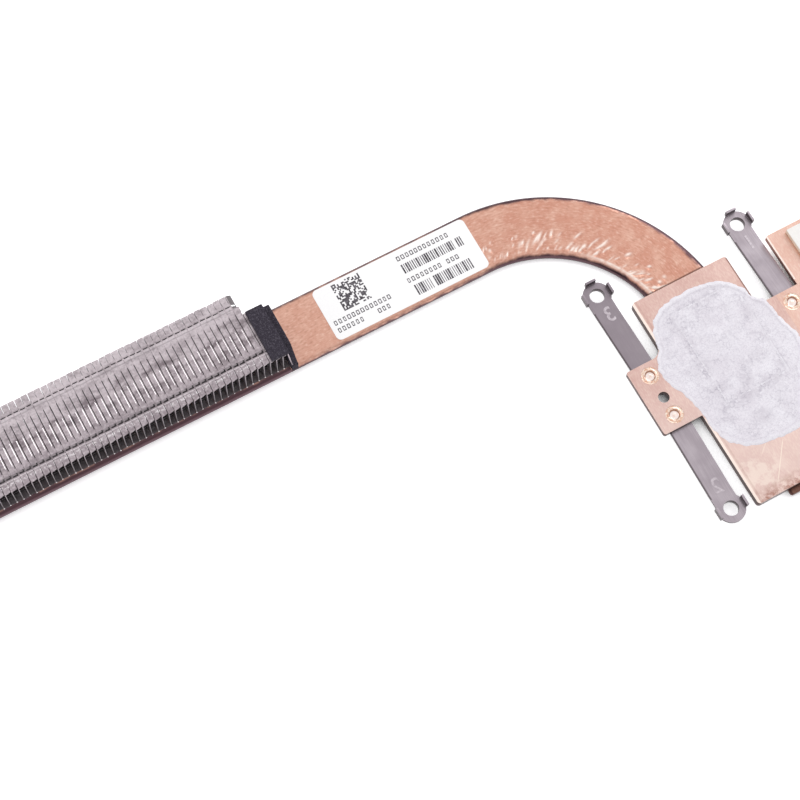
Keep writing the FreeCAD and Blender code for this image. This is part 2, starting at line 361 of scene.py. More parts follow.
class PipeSettings(PropertyGroup):
    thickness: length("Thickness", "Thickness of the flattened tube", (PIPE[1].z - PIPE[0].z) / MM)
    width: length("Width", "Width of the flattened tube", 11.4)
    run_y: length("Run", "Y of the middle of the long run", 39.5)
    leg_x: length("Leg", "X of the middle of the leg under the plate", -0.4)
    bend_radius: length("Bend", "Radius of the bend along the middle of the tube", 26.9)
    nose_width: length("Nose width", "Width of the crimped end", 7.2)
    nose_thickness: length("Nose thickness", "Thickness of the crimped end", 1.3)
    nose_taper: length("Nose taper", "Length over which the tube narrows to its end", 2.6)
    nose_length: length("Nose length", "Length of the crimped end", 1.2)
    wrinkle_depth: length("Wrinkle depth", "Height of the wrinkles inside the bend", 0.14)
    wrinkles: whole("Wrinkles", "Number of wrinkles on the bend", 95)
    seed: seed(4)
    copper: colour("Copper", "Colour of the pipe's flat side", "#cf9884")
    bright: colour("Burnish", "Colour of its rubbed crests", "#ffe3d2")
    # The tarnish colour is also painted shade on the tube's round edges.
    tarnish: colour("Tarnish", "Colour of its brown edges", "#594348")


class PlateSettings(PropertyGroup):
    edge_round: length("Edge", "Width of the rounding that stamping leaves", 0.3)
    stud_span_x: length("Stud columns", "Distance between the left and right studs", 28.0)
    stud_span_y: length("Stud rows", "Distance between the studs of a tab", 7.7)
    stud_mid_x: length("Studs X", "Middle of the four studs in X", -0.15)
    stud_mid_y: length("Studs Y", "Middle of the four studs in Y", 0.4)
    copper: colour("Copper", "Colour of the plate's foot", "#e6c9c1")
    # The head colour is a painted, dimmer reflection.
    head: colour("Head", "Colour of the plate's head", "#d5aea5")
    bright: colour("Burnish", "Colour of its rubbed edges and studs", "#fff0e0")
    wall: colour("Wall", "Colour of its sheared walls", "#482f2c")
    # The wall colour is painted shade on the sheared walls.
    stain: colour("Stain", "Colour of the flux stains", "#f6e4d8")


class ArmSettings(PropertyGroup):
    edge_round: length("Edge", "Width of the rounding along the sheared edges", 0.07)
    digit_height: length("Digit height", "Height of the embossed digits", 3.0)
    digit_relief: length("Relief", "Height of the digits above the strip", 0.03)
    digit_stroke: length("Stroke", "Half of what is added to a stroke's width", 0.05)
    steel: colour("Steel", "Colour of the strip", "#aca2a9")
    # Pale steel is also the painted highlight along rounded edges.
    bright: colour("Pale steel", "Colour of the digits and rubbed places", "#d6ced3")
    # The wall colour is painted shade on the sheared walls, and also the dark line along the left
    # edges.
    wall: colour("Wall", "Colour of the sheared walls", "#4b4245")


class FinSettings(PropertyGroup):
    count: whole("Fins", "Number of fins in the stack", len(FIN_NODES), 2)
    short: whole("Short fins", "Fins cut short under the foam", 3)
    pitch: length("Pitch", "Distance from fin to fin", (SECOND_FIN[0].x - FIRST_FIN[0].x) / MM)
    sheet: length("Sheet", "Thickness of the fin sheet", 0.12)
    bend: length("Bend", "Outer radius of the folds", 0.13)
    slit: length("Slit", "Width of the open slit beside each flange", 0.21)
    slit_front: length("Slit front", "Front end of the slit from the fin's front", 3.2)
    slit_back: length("Slit back", "Back end of the slit from the fin's front", 10.0)
    lip: length("Lip", "Width of the rolled edge in the slit", 0.24)
    front_hook: length("Front hook", "Place of the front hook slot", 1.84)
    back_hook: length("Back hook", "Place of the back hook slot", 11.6)
    hook_width: length("Hook width", "Width of a hook slot", 0.32)
    hook_length: length("Hook length", "Length of a hook slot along the fin", 0.6)
    crease: length("Crease", "Distance from a hook slot forward to its crease", 0.25)
    torn_length: length("Torn length", "Length of the torn flange at the stack's end", 2.6)
    tab_drop: length("Tab", "Drop of the tab behind a hook slot", 1.6)
    slant: FloatProperty(name="Slant", description="Largest random turn of a fin",
                         default=math.radians(0.2), subtype="ANGLE")
    shift: length("Shift", "Largest random shift of a fin", 0.05)
    bead: length("Bead", "Radius of a bead of solder", 0.15)
    seed: seed(7)
    tin: colour("Tinned sheet", "Colour of the fins", "#aea3a8")
    # The bright colour is the painted highlight of the lips and front flecks, and the solder's
    # skin.
    bright: colour("Bright edge", "Colour of burnished lips and edges", "#fffbfc")
    # The channel colour is painted shade on the webs down in the channels.
    dark: colour("Channel shade", "Colour of the webs down in the channels", "#6b6567")


class PasteSettings(PropertyGroup):
    rim: length("Rim", "Height of the bead along the smear's edge", 0.07)
    ridge: length("Ridges", "Height of the ridges drawn by the peeled chip", 0.035)
    seed: seed(3)
    paste: colour("Paste", "Colour of the dried paste", "#eae6ed")
    dust: colour("Smudge", "Colour of its grey smudges", "#bcb5bf")


class SoftSettings(PropertyGroup):
    foam_round: length("Foam edge", "Radius along the foam's cut edges", 0.12)
    foam_cells: length("Foam cells", "Depth of the foam's open cells", 0.05)
    foam: colour("Foam", "Colour of the foam", "#3a3540")
    pad_round: length("Pad edge", "Radius along the thermal pad's edges", 0.1)
    pad: colour("Thermal pad", "Colour of the pad", "#f2f0ec")
    # The side colour is a painted reflection of the copper on the pad's cut sides.
    pad_side: colour("Pad side", "Colour of the pad's oily sides", "#f3e2cf")


class LabelSettings(PropertyGroup):
    lift: length("Lift", "Height of the ink above the film", 0.012)
    corner: length("Corner", "Radius of the film's corners", 0.9)
    film_thickness: length("Film thickness", "Thickness of the film", 0.07)
    seed: seed(11)
    film: colour("Film", "Colour of the label's film", "#ffffff")
    ink: colour("Ink", "Colour of the print", "#38333a")


class StageSettings(PropertyGroup):
    key: FloatProperty(name="Key", description="Power of the large soft lamp in watts", default=1.7)
    fill: FloatProperty(name="Fill", description="Strength of the light all round", default=0.95)
    focal: FloatProperty(name="Focal length", description="For a 36 mm sensor", default=87.12)
    floor: colour("Floor", "Colour of the floor", "#f4f3f5")


def pipe_copper(s):
    """Bare copper tube, drawn, bent and pressed flat."""
    material, tree, place = start_material("Pressed copper tube")
    uv = add(tree, "UVMap", uv_map="Girth")
    along, across, _ = add(tree, "SeparateXYZ", (uv,)).node.outputs
    # The straight run was never bent, and keeps a cleaner skin than the bend.
    bend_start = s.leg_x - s.bend_radius - PIPE[0].x
    clean = add(tree, "MapRange", (along, bend_start + 8 * MM, bend_start - 6 * MM, 0.0, 0.5))
    # Handling and pressing leave the flat mottled: soft blotches 2 mm wide under a grain of 0.3 mm.
    blotch, mottle = patches(tree, uv, 420.0, 4.0, (0.42, 0.68, clean, 0.95), Roughness=0.6)
    stretched = add(tree, "Mapping", {"Vector": uv, "Scale": (1300.0, 3200.0, 1.0)})
    grain, grained = patches(tree, stretched, 1.0, 3.0, (0.54, 0.76, 0.0, 0.45))
    dull = add(tree, "MapRange", (grain, 0.47, 0.27, 0.0, 0.5))
    # The crests of the wrinkles are rubbed metal with a painted highlight, and the inner rim of the
    # bend carries a painted highlight line.
    crest = add(tree, "Attribute", output="Fac", attribute_name="burnish")
    # The round edges get ragged brown tarnish with painted shade for their dark reflection. It
    # comes further up on the outside of the bend, and further still under the fins.
    half_flat = (s.width - s.thickness) / 2
    side = add(tree, "Math", (across,), operation="ABSOLUTE")
    ragged = patches(tree, uv, 500.0, 3.0, (0.3, 0.7, -0.22 * MM, 0.22 * MM))[1]
    outer = add(tree, "Math", (across, 0.0), operation="LESS_THAN")
    under_fins = add(tree, "Math", (along, LAST_FIN[1].x - PIPE[0].x), operation="LESS_THAN")
    reach = add(tree, "Math", (side, ragged))
    for share, rise in ((outer, 0.55 * MM), (under_fins, 0.9 * MM), (clean, -0.8 * MM)):
        reach = add(tree, "Math", (share, rise, reach), operation="MULTIPLY_ADD")
    edge = add(tree, "MapRange", (reach, half_flat + 0.3 * MM, half_flat + 0.95 * MM),
               interpolation_type="SMOOTHSTEP")
    # Under the fins the edge is a dark stripe over a rosy one; the rosy one is a painted reflection
    # of the floor on the tube's lower side.
    rosy = add(tree, "MapRange", (side, half_flat + 0.85 * MM, half_flat + 1.1 * MM))
    brown = layers(tree, s.tarnish, ("#634d53", rosy, under_fins))
    # Painted shadow: a dark line on the tube along the plate's edge, where the plate crosses the
    # tube.
    y, plate_end = add(tree, "SeparateXYZ", (place,), "Y"), PLATE[1].y / MM
    corner = add(tree, "MapRange", (y, plate_end + 0.8, plate_end + 0.6, 0.0, 0.8))
    base = layers(tree, s.copper, ("#e3b4a0", mottle), ("#b07c69", dull), (s.bright, grained),
                  ("#fff0e6", crest), (brown, edge), ("#5b3f38", corner))
    rough = add(tree, "MapRange", (blotch, 0.3, 0.7, 0.42, 0.3))
    return finish(material, base, [(0.5, 0.02, grain)], Metallic=1.0, Roughness=rough)


def upward(tree):
    """How far a face looks up: one when it lies level, nought on a wall."""
    return add(tree, "SeparateXYZ", (add(tree, "NewGeometry", output="Normal"),), "Z")


def facing_down(tree, low, high):
    """One on walls and undersides, nought on faces that look up."""
    return add(tree, "MapRange", (upward(tree), high, low))


def rubbed_edge(tree):
    """One along rounded edges, where their painted highlight goes, else nought."""
    up = upward(tree)
    rise, fall = (add(tree, "MapRange", (up, *steps)) for steps in ((0.45, 0.62), (0.985, 0.93)))
    return add(tree, "Math", (rise, fall), operation="MULTIPLY")


def scratch(tree, place, start, end, strength):
    """A hairline between two points on the plate, given in millimetres, 0.1 mm wide."""
    start, end = Vector(start), Vector(end)
    half = (end - start).length / 2
    ahead = (end - start).normalized()
    from_start = add(tree, "VectorMath", (place, start.to_3d()), operation="SUBTRACT")
    across, along = (add(tree, "VectorMath", (from_start, way), operation="DOT_PRODUCT")
                     for way in ((-ahead.y, ahead.x, 0), ahead.to_3d()))
    near = band(tree, across, 0.0, 0.1, 0.04, 0.0, strength)
    between = band(tree, along, half, half, half - 0.8)
    return add(tree, "Math", (near, between), operation="MULTIPLY")


def plate_copper(s):
    """Copper sheet, stamped and lapped flat."""
    material, tree, place = start_material("Lapped copper sheet")
    x, y, _ = add(tree, "SeparateXYZ", (place,)).node.outputs
    # Lapping leaves very fine short lines along the plate, 0.15 mm wide here so that they show.
    lines = add(tree, "Mapping", {"Vector": place, "Scale": (6.0, 1.6, 1.0)})
    lapped, fine = patches(tree, lines, 1.0, 3.0, (0.42, 0.72, 0.0, 0.3))
    cloud, warm = patches(tree, place, 0.22, 3.0, (0.35, 0.7, 0.0, 0.35))
    # The plate is paler at its foot than at its head, a painted change in its reflection.
    head = add(tree, "MapRange", (y, -9.0, 4.0))
    right = add(tree, "Math", (x, RIGHT_TAB), operation="GREATER_THAN")
    # Flux dried yellow at the plate's lower left corner, in flecks about 2 mm wide.
    corner = add(tree, "VectorMath", (place, STAIN_MIDDLE), operation="DISTANCE")
    near = add(tree, "MapRange", (corner, 6.0, 2.5), interpolation_type="SMOOTHSTEP")
    fleck = patches(tree, place, 0.45, 5.0, (0.46, 0.56, 0.0, 0.75), Roughness=0.6)[1]
    # Soldering heat tinted the foot of the plate brown in a ragged band 1.5 mm wide.
    foot = add(tree, "MapRange", (y, PLATE_FOOT + 2.5, PLATE_FOOT + 0.5))
    patch = patches(tree, place, 1.1, 4.0, (0.4, 0.62, 0.0, 0.8), Roughness=0.7)[1]
    scratches = [(s.bright, scratch(tree, place, *line)) for line in SCRATCHES]
    # The left long edge is rolled over and gets a painted highlight, with a darker line beside it.
    off_tab = band(tree, y, s.stud_mid_y / MM, 6.6, 7.2)
    roll_highlight = add(tree, "MapRange", (x, PLATE_ROLL, PLATE_ROLL - 0.12))
    roll_highlight = add(tree, "Math", (roll_highlight, off_tab), operation="MULTIPLY")
    rubbed = add(tree, "Math", (rubbed_edge(tree), roll_highlight), operation="MAXIMUM")
    groove = band(tree, x, PLATE_GROOVE, 0.2, 0.1, 0.0, 0.2)
    # The wing's left edge is rolled too, and gets a painted highlight.
    lip = band(tree, x, WING_EDGE + 0.14, 0.2, 0.08, 0.0, 0.85)
    past = add(tree, "Math", (y, HEAD_START), operation="GREATER_THAN")
    # The head's right edge has a dark line 0.2 mm wide.
    dark_edge_line = add(tree, "MapRange", (x, HEAD_EDGE - 0.3, HEAD_EDGE - 0.16, 0.0, 0.8))
    on_head = add(tree, "Math", (past, right), operation="SUBTRACT", use_clamp=True)
    # The sheared walls get brown painted shade, lighter at the wing and the right tab.
    brown = layers(tree, s.wall, ("#c39888", right))
    base = layers(tree, s.copper, (s.head, head), ("#e2b8a8", right), ("#ecd2c9", warm),
                  (s.bright, fine), (s.stain, near, fleck), ("#a5705f", foot, patch), *scratches,
                  ("#ffeee3", rubbed), ("#fff3ea", lip, past), ("#a27f72", groove, off_tab),
                  ("#7c5348", dark_edge_line, on_head), (brown, facing_down(tree, 0.2, 0.55)))
    rough = add(tree, "MapRange", (cloud, 0.3, 0.7, 0.3, 0.42))
    return finish(material, base, [(0.4, 0.01, lapped)], Metallic=1.0, Roughness=rough)


def punched_copper(s):
    """Copper burnished by the punch that clinches the studs."""
    material, tree, place = start_material("Punched copper stud")
    # The punch leaves clean metal with brighter rubbed flecks; the steep wall below gets brown
    # painted shade.
    marks, rubbed = patches(tree, place, 3.5, 2.0, (0.35, 0.65))
    # The floor of the dimple gets a painted highlight, almost white.
    z, top = add(tree, "SeparateXYZ", (place,), "Z"), PLATE[1].z / MM
    floor = add(tree, "MapRange", (z, top - 0.36, top - 0.42, 0.0, 0.85))
    base = layers(tree, linear("#e0ac92"), (s.bright, rubbed), ("#fff3ee", floor),
                  ("#8f5438", facing_down(tree, 0.3, 0.75)))
    return finish(material, base, [(0.25, 0.02, marks)], Metallic=1.0, Roughness=0.3)


def spring_steel(s):
    """Cold-rolled stainless strip."""
    material, tree, place = start_material("Cold rolled spring steel")
    x, y, _ = add(tree, "SeparateXYZ", (place,)).node.outputs
    # Rolling leaves soft streaks along the strip, with cloudy handling marks 3 mm wide.
    lines = add(tree, "Mapping", {"Vector": place, "Scale": (5.0, 0.25, 1.0)})
    rolled = add(tree, "TexNoise", {"Vector": lines, "Scale": 1.0, "Detail": 2.0})
    cloud, rough = patches(tree, place, 0.35, 4.0, (0.3, 0.7, 0.28, 0.42))
    streaks = add(tree, "MapRange", (add(tree, "Math", (rolled, cloud)), 0.8, 1.35, 0.0, 0.4))
    # The upper end of the left strip gets painted shade, as its slope reflects a darker part of the
    # surroundings.
    left = add(tree, "Math", (x, 0.0), operation="LESS_THAN")
    upper = add(tree, "MapRange", (y, -6.0, 8.0, 0.0, 0.75))
    # The left edge of each strip has a dark line 0.2 mm wide.
    inward = add(tree, "Math", (left, 2 * ARM_SPREAD, x), operation="MULTIPLY_ADD")
    dark_edge_line = add(tree, "MapRange", (inward, ARM_LEFT_EDGE + 0.28, ARM_LEFT_EDGE + 0.12, 0.0, 0.8))
    strip = add(tree, "Math", (y, 0.0, ARM_STRIP_END), operation="COMPARE")
    # Rounded edges get a painted highlight, and the walls painted shade.
    base = layers(tree, s.steel, (s.bright, streaks), ("#8d838a", left, upper),
                  (s.bright, rubbed_edge(tree)), (s.wall, dark_edge_line, strip),
                  (s.wall, facing_down(tree, 0.2, 0.5)))
    return finish(material, base, [(0.3, 0.01, rolled)], Metallic=1.0, Roughness=rough)


def embossed_steel(s):
    """Steel stretched by the embossing punch, a little paler than the strip."""
    material, tree, place = start_material("Embossed steel")
    # The punch rubs the raised strokes unevenly, in patches of 0.5 mm.
    rubbed = patches(tree, place, 2.0, 2.0, (0.35, 0.65, 0.25, 0.85))[1]
    base = layers(tree, s.steel, (s.bright, rubbed))
    return finish(material, base, [], Metallic=1.0, Roughness=0.4)


def tinned_sheet(s):
    """Thin sheet fins, tinned so that they take solder."""
    material, tree, place = start_material("Tinned fin sheet")
    # The back of the stack is paler than its front, and the smears gather across its middle.
    y = add(tree, "SeparateXYZ", (place,), "Y")
    back = add(tree, "MapRange", (y, FIN_FRONT + 1.0, FIN_FRONT + 10.5))
    amid = band(tree, y, FIN_FRONT + 6.7, 1.0, 3.4, 0.95, 0.4)
    # Hot tinning leaves a cloudy grey skin: smears 2 mm long and specks of 0.4 mm.
    long = add(tree, "Mapping", {"Vector": place, "Scale": (0.22, 0.5, 0.5)})
    smear, dull = patches(tree, long, 1.0, 5.0, (0.46, 0.6, 0.0, amid), Roughness=0.62)
    speck, lit = patches(tree, place, 2.4, 3.0, (0.5, 0.7, 0.0, 0.5))
    dim = add(tree, "MapRange", (speck, 0.46, 0.3, 0.0, 0.42))
    # The front strip gets painted glints: a broken line of bright flecks 0.3 mm wide.
    fleck = patches(tree, place, 2.2, 1.0, (0.5, 0.62, 0.0, 0.5))[1]
    front = band(tree, y, FIN_FRONT + 1.0, 0.32, 0.12)
    # The painted-light attribute is above nought where highlights are painted on lips and creases,
    # and below it where shade is painted down in the channels.
    tone = add(tree, "Attribute", output="Fac", attribute_name="tone")
    lip, shade_in_channels = (add(tree, "MapRange", (tone, 0.0, end)) for end in (1.0, -1.0))
    base = layers(tree, s.tin, ("#cec4c8", back), ("#7f7479", dull), ("#ddd4d7", lit),
                  ("#857b7f", dim), (s.bright, fleck, front), (s.bright, lip), (s.dark, shade_in_channels))
    # The lips, coloured with a painted highlight, have an even satin gloss and flash where they
    # face the lamp.
    rough = add(tree, "MapRange", (smear, 0.3, 0.7, 0.3, 0.48))
    rough = add(tree, "Mix", {0: lip, 2: rough, 3: 0.47})
    strength = add(tree, "MapRange", {0: lip, 3: 0.6, 4: 0.0})
    # The webs down in the channels are made nearly non-metal, part of their painted shade.
    bare = add(tree, "MapRange", {0: shade_in_channels, 3: 1.0, 4: 0.1})
    return finish(material, base, [(strength, 0.02, speck)], Metallic=bare, Roughness=rough)


def tin_solder(s):
    """Tin solder, solidified in small beads."""
    material, tree, place = start_material("Tin solder")
    # Solder sets with a bright skin that is grey only where it cooled last.
    skin, grey = patches(tree, place, 4.0, 2.0, (0.4, 0.65, 0.0, 0.6))
    base = layers(tree, s.bright, ("#9d9497", grey))
    return finish(material, base, [(0.4, 0.02, skin)], Metallic=1.0, Roughness=0.25)


def chip_distance(tree, place):
    """Distance from the print of the chip's edge in millimetres, below nought inside it."""
    axes, sides = add(tree, "SeparateXYZ", (place,)).node.outputs, []
    for axis, low, high in ((0, *CHIP[:2]), (1, *CHIP[2:])):
        off = add(tree, "Math", (axes[axis], (low + high) / 2), operation="SUBTRACT")
        off = add(tree, "Math", (off,), operation="ABSOLUTE")
        sides.append(add(tree, "Math", (off, (high - low) / 2), operation="SUBTRACT"))
    return add(tree, "Math", sides, operation="MAXIMUM")


def dried_paste(s):
    """Silicone paste filled with zinc oxide, dried to a chalky skin."""
    material, tree, place = start_material("Dried thermal paste")
    torn, smudge, rim = (add(tree, "Attribute", output="Fac", attribute_name=name)
                         for name in ("torn", "smudge", "rim"))
    # Peeling the chip away smears the skin: pale clouds 3 mm wide over a grain of 0.2 mm.
    grain, fine = patches(tree, place, 4.5, 3.0, (0.54, 0.34, 0.0, 0.55), Roughness=0.7)
    cloud, pale = patches(tree, place, 0.3, 4.0, (0.38, 0.66, 0.0, 0.75))
    # The skin tears where the chip pulled away: thin branching cracks with grey flanks.
    drawn = add(tree, "TexNoise", {"Vector": place, "Scale": 1.5, "Detail": 4.0, "Roughness": 0.6,
                                   "Distortion": 0.5}, noise_type="RIDGED_MULTIFRACTAL")
    crack = add(tree, "MapRange", (drawn, 0.4, 0.1, 0.0, 0.4))
    # It also shrank as it dried, which left fine broken crackle lines 0.8 mm apart.
    bend = add(tree, "VectorMath", (grain.node.outputs["Color"], (0.5,) * 3), operation="SUBTRACT")
    bent = add(tree, "VectorMath", (bend, (0.9,) * 3, place), operation="MULTIPLY_ADD")
    crackle = add(tree, "TexVoronoi", {"Vector": bent, "Scale": 1.25}, feature="DISTANCE_TO_EDGE")
    crackle = add(tree, "MapRange", (crackle, 0.11, 0.02))
    broken = patches(tree, place, 0.9, 2.0, (0.44, 0.6, 0.15, 0.95))[1]
    outside = add(tree, "MapRange", {0: torn, 3: 0.25, 4: 1.0})
    # The chip's edge printed a thin line with a pale flank.
    out = chip_distance(tree, bent)
    printed, flank = (band(tree, out, level, 0.14, 0.03, 0.0, strength)
                      for level, strength in ((0.0, 0.55), (-0.22, 0.6)))
    patchy = add(tree, "MapRange", (grain, 0.42, 0.64, 0.0, 0.7))
    # The rim dried thick and bluish white, with a thin grey line just inside it.
    thick = add(tree, "MapRange", (rim, 0.2, 1.0, 0.0, 0.3))
    ring = add(tree, "MapRange", (rim, 0.0, -0.8, 0.0, 0.25))
    base = layers(tree, s.paste, ("#f3f1f7", pale), ("#cbc6d0", fine), (s.dust, crack, torn),
                  ("#b3aeba", crackle, broken, outside), ("#c0bbc5", printed, broken),
                  ("#fbfbff", flank, broken), (s.dust, smudge, patchy), ("#fbfbff", thick),
                  (s.dust, ring))
    rough = add(tree, "MapRange", (cloud, 0.3, 0.7, 0.6, 0.42))
    height = add(tree, "Math", (drawn, torn), operation="MULTIPLY")
    return finish(material, base, [(0.5, 0.05, height), (0.8, 0.03, grain)], Roughness=rough)


def silicone_pad(s):
    """Soft silicone sheet loaded with ceramic powder."""
    material, tree, place = start_material("Silicone gap filler")
    # The powder shows as a fine chalky grain, and the cut sides get a tan painted reflection of the
    # copper.
    grain, chalky = patches(tree, place, 3.0, 3.0, (0.4, 0.7, 0.0, 0.5))
    base = layers(tree, s.pad, ("#fdfbf8", chalky), (s.pad_side, facing_down(tree, 0.3, 0.7)))
    return finish(material, base, [(0.6, 0.03, grain)], Roughness=0.6)


def open_cell_foam(s):
    """Black polyurethane foam, cut with a die."""
    material, tree, place = start_material("Open cell foam")
    # The cells are about 0.3 mm wide; cut cell walls catch the light as pale specks.
    cells = add(tree, "TexVoronoi", {"Vector": place, "Scale": 3.4})
    walls = add(tree, "MapRange", (cells, 0.1, 0.5, 0.0, 0.75))
    specks = patches(tree, place, 5.0, 2.0, (0.52, 0.68, 0.0, 0.4))[1]
    base = layers(tree, linear("#2d2a31"), (s.foam, walls), ("#77727d", specks))
    return finish(material, base, [(1.0, 0.08, cells)], Roughness=0.9, Specular_IOR_Level=0.25)


def polyester_film(s):
    """White polyester label film with a matt coat."""
    material, tree, place = start_material("Matt polyester film")
    # The coat is even, with a barely visible grain of 0.3 mm.
    grain, shade = patches(tree, place, 3.0, 2.0, (0.4, 0.6, 0.0, 0.25))
    base = layers(tree, s.film, ("#f8f7f9", shade))
    return finish(material, base, [(0.2, 0.01, grain)], Roughness=0.5)


def transfer_ink(s):
    """Resin ink, thermally transferred."""
    material, tree, place = start_material("Thermal transfer ink")
    # The ribbon prints unevenly, so the ink thins to grey in patches of 0.5 mm.
    thin = patches(tree, place, 2.0, 3.0, (0.42, 0.7, 0.0, 0.65))[1]
    return finish(material, layers(tree, s.ink, ("#8d888f", thin)), [], Roughness=0.45)


def pipe_route(p):
    """Lengths of run, bend and leg, and a function from the way along to place and direction."""
    run = p.leg_x - p.bend_radius - PIPE[0].x
    bend = p.bend_radius * math.pi / 2
    centre = Vector((p.leg_x - p.bend_radius, p.run_y - p.bend_radius))

    def at(s):
        if s < run:
            return Vector((PIPE[0].x + s, p.run_y)), Vector((1, 0))
        if s < run + bend:
            turn = (s - run) / p.bend_radius
            out = Vector((math.sin(turn), math.cos(turn)))
            return centre + out * p.bend_radius, Vector((out.y, -out.x))
        return Vector((p.leg_x, centre.y - (s - run - bend))), Vector((0, -1))

    return run, bend, centre.y - PIPE[0].y, at


def wrinkle_field(p, run, bend):
    """Wrinkles inside the bend: place along and across, angle, length, width and height."""
    random = np.random.default_rng(p.seed)
    n = p.wrinkles
    s = run - 1.0 * MM + (bend + 1.0 * MM) * random.beta(1.2, 1.35, n)
    inward = p.width / 2 - (0.75 + 3.9 * random.random(n) ** 1.7) * MM
    angle = np.radians(random.normal(57, 7, n))
    long = (0.28 + 1.0 * random.random(n) ** 2) * MM
    wide = (0.11 + 0.17 * random.random(n) ** 2) * MM
    size = random.uniform(0.3, 1.0, n)
    return [values[:, None] for values in (s, inward, angle, long, wide, size)]


def pipe_ring(r, flat):
    """Section of the tube, from the middle of its underside round by the inside of the bend."""
    low_in = np.linspace(0, flat, 6)[:-1]
    arc = np.linspace(0, math.pi, 11)[:-1]
    top = np.linspace(flat, -flat, 57)[:-1]
    low_out = np.linspace(-flat, 0, 6)[:-1]
    across = np.concatenate([low_in, flat + r * np.sin(arc), top, -flat - r * np.sin(arc), low_out])
    height = np.concatenate([low_in * 0 - r, -r * np.cos(arc), top * 0 + r, r * np.cos(arc),
                             low_out * 0 - r])
    steps = np.hypot(np.diff(np.append(across, across[0])), np.diff(np.append(height, height[0])))
    girth = np.concatenate([[0], np.cumsum(steps)])
    return across, height, girth[-1] / 2 - girth


def heat_pipe_mesh(p):
    run, bend, leg, at = pipe_route(p)
    total = run + bend + leg
    # Stations lie close at both tips and closest on the bend, where the wrinkles are.
    tip, before = 4 * MM, 8 * MM
    spans = ((0, tip, 17), (tip, run - before, 90), (run - before, run + bend + tip, 260),
             (run + bend + tip, total - tip, 20), (total - tip, total, 17))
    stations = np.unique(np.concatenate([np.linspace(*span) for span in spans]).round(6))
    r, flat = p.thickness / 2, (p.width - p.thickness) / 2
    across, height, girth = pipe_ring(r, flat)
    w_s, w_in, w_angle, w_long, w_wide, w_size = wrinkle_field(p, run, bend)
    on_top = (height > 0.9 * r) * smoothstep(flat + 0.2 * MM, flat - 0.5 * MM, np.abs(across))
    points, burnish = [], []
    for s in stations:
        middle, ahead = at(s)
        inward = Vector((ahead.y, -ahead.x))
        # The tube narrows to its crimped end, whose tip is rounded.
        from_tip = min(s, total - s)
        narrow = smoothstep(p.nose_length, p.nose_length + p.nose_taper, from_tip)
        end = math.sqrt(max(0.0, 1 - (1 - min(1.0, from_tip / (0.5 * MM))) ** 2))
        half_w = (p.nose_width + (p.width - p.nose_width) * narrow) / 2 * (0.93 + 0.07 * end)
        half_t = (p.nose_thickness + (p.thickness - p.nose_thickness) * narrow) / 2
        half_t *= 0.7 + 0.3 * end
        # Each wrinkle is a crest with a groove beside it.
        ds, da = s - w_s, across[None, :] - w_in
        u = ds * np.cos(w_angle) - da * np.sin(w_angle)
        v = ds * np.sin(w_angle) + da * np.cos(w_angle)
        fade = np.exp(-(u / w_long) ** 2) * w_size
        crest = (fade * np.exp(-(v / w_wide) ** 2)).sum(0)
        groove = (fade * np.exp(-((v - 1.8 * w_wide) / w_wide) ** 2)).sum(0)
        wave = np.array([noise.noise(Vector((s, a, 0)) / (2.2 * MM)) for a in across])
        lift = p.wrinkle_depth * (0.55 * np.clip(crest, 0, 1) - 0.9 * np.clip(groove, 0, 1))
        z = height * half_t / r + np.minimum((lift + 0.012 * MM * wave) * on_top, 0.0)
        # The inner rim of the bend's second half gets a painted highlight in a broken line.
        in_bend = (smoothstep(run + 0.42 * bend, run + 0.6 * bend, s)
                   * smoothstep(run + bend + 2 * MM, run + bend, s))
        broken = 0.75 + 0.6 * noise.noise(Vector((s, 0, 0)) / (0.9 * MM))
        rim = np.exp(-((across - flat - 0.1 * MM) / (0.22 * MM)) ** 2) * (height > 0)
        rim *= in_bend * broken
        burnish.extend(np.clip(np.clip(crest * 1.3, 0, 1) * on_top + rim * 1.3, 0, 1))
        for a, up in zip(across * half_w / (p.width / 2), z):
            spot = middle + inward * a
            points.append((spot.x, spot.y, PIPE[0].z + p.thickness / 2 + up))
    rows, ring = len(stations), len(across)
    last = (rows - 1) * ring
    faces = list(quads_between(rows, ring))
    uvs = [(stations[i + di], girth[j + dj]) for i in range(rows - 1) for j in range(ring)
           for di, dj in ((0, 0), (0, 1), (1, 1), (1, 0))]
    faces += [tuple(range(ring)), tuple(last + j for j in reversed(range(ring)))]
    uvs += [(0.0, v) for v in girth[:ring]] + [(total, v) for v in girth[:ring][::-1]]
    mesh = bpy.data.meshes.new("heat_pipe_surface")
    mesh.from_pydata(points, [], faces)
    layer = mesh.uv_layers.new(name="Girth")
    layer.data.foreach_set("uv", np.array(uvs, dtype=np.float32).ravel())
    mark_points(mesh, burnish=burnish)
    return smooth(mesh, sharp_angle=50)


class HEATSINK_OT_heat_pipe(Operator):
    """Sweeps the flattened copper pipe along its bend, with its crimped ends and wrinkles"""
    bl_idname = "heatsink.heat_pipe"
    bl_label = "Heat pipe"

    def execute(self, context):
        s = context.scene.heatsink_pipe
        dress(new_object("flattened_heat_pipe", heat_pipe_mesh(s)), pipe_copper(s), "pipe_copper",
              "heat_pipe")
        return {"FINISHED"}


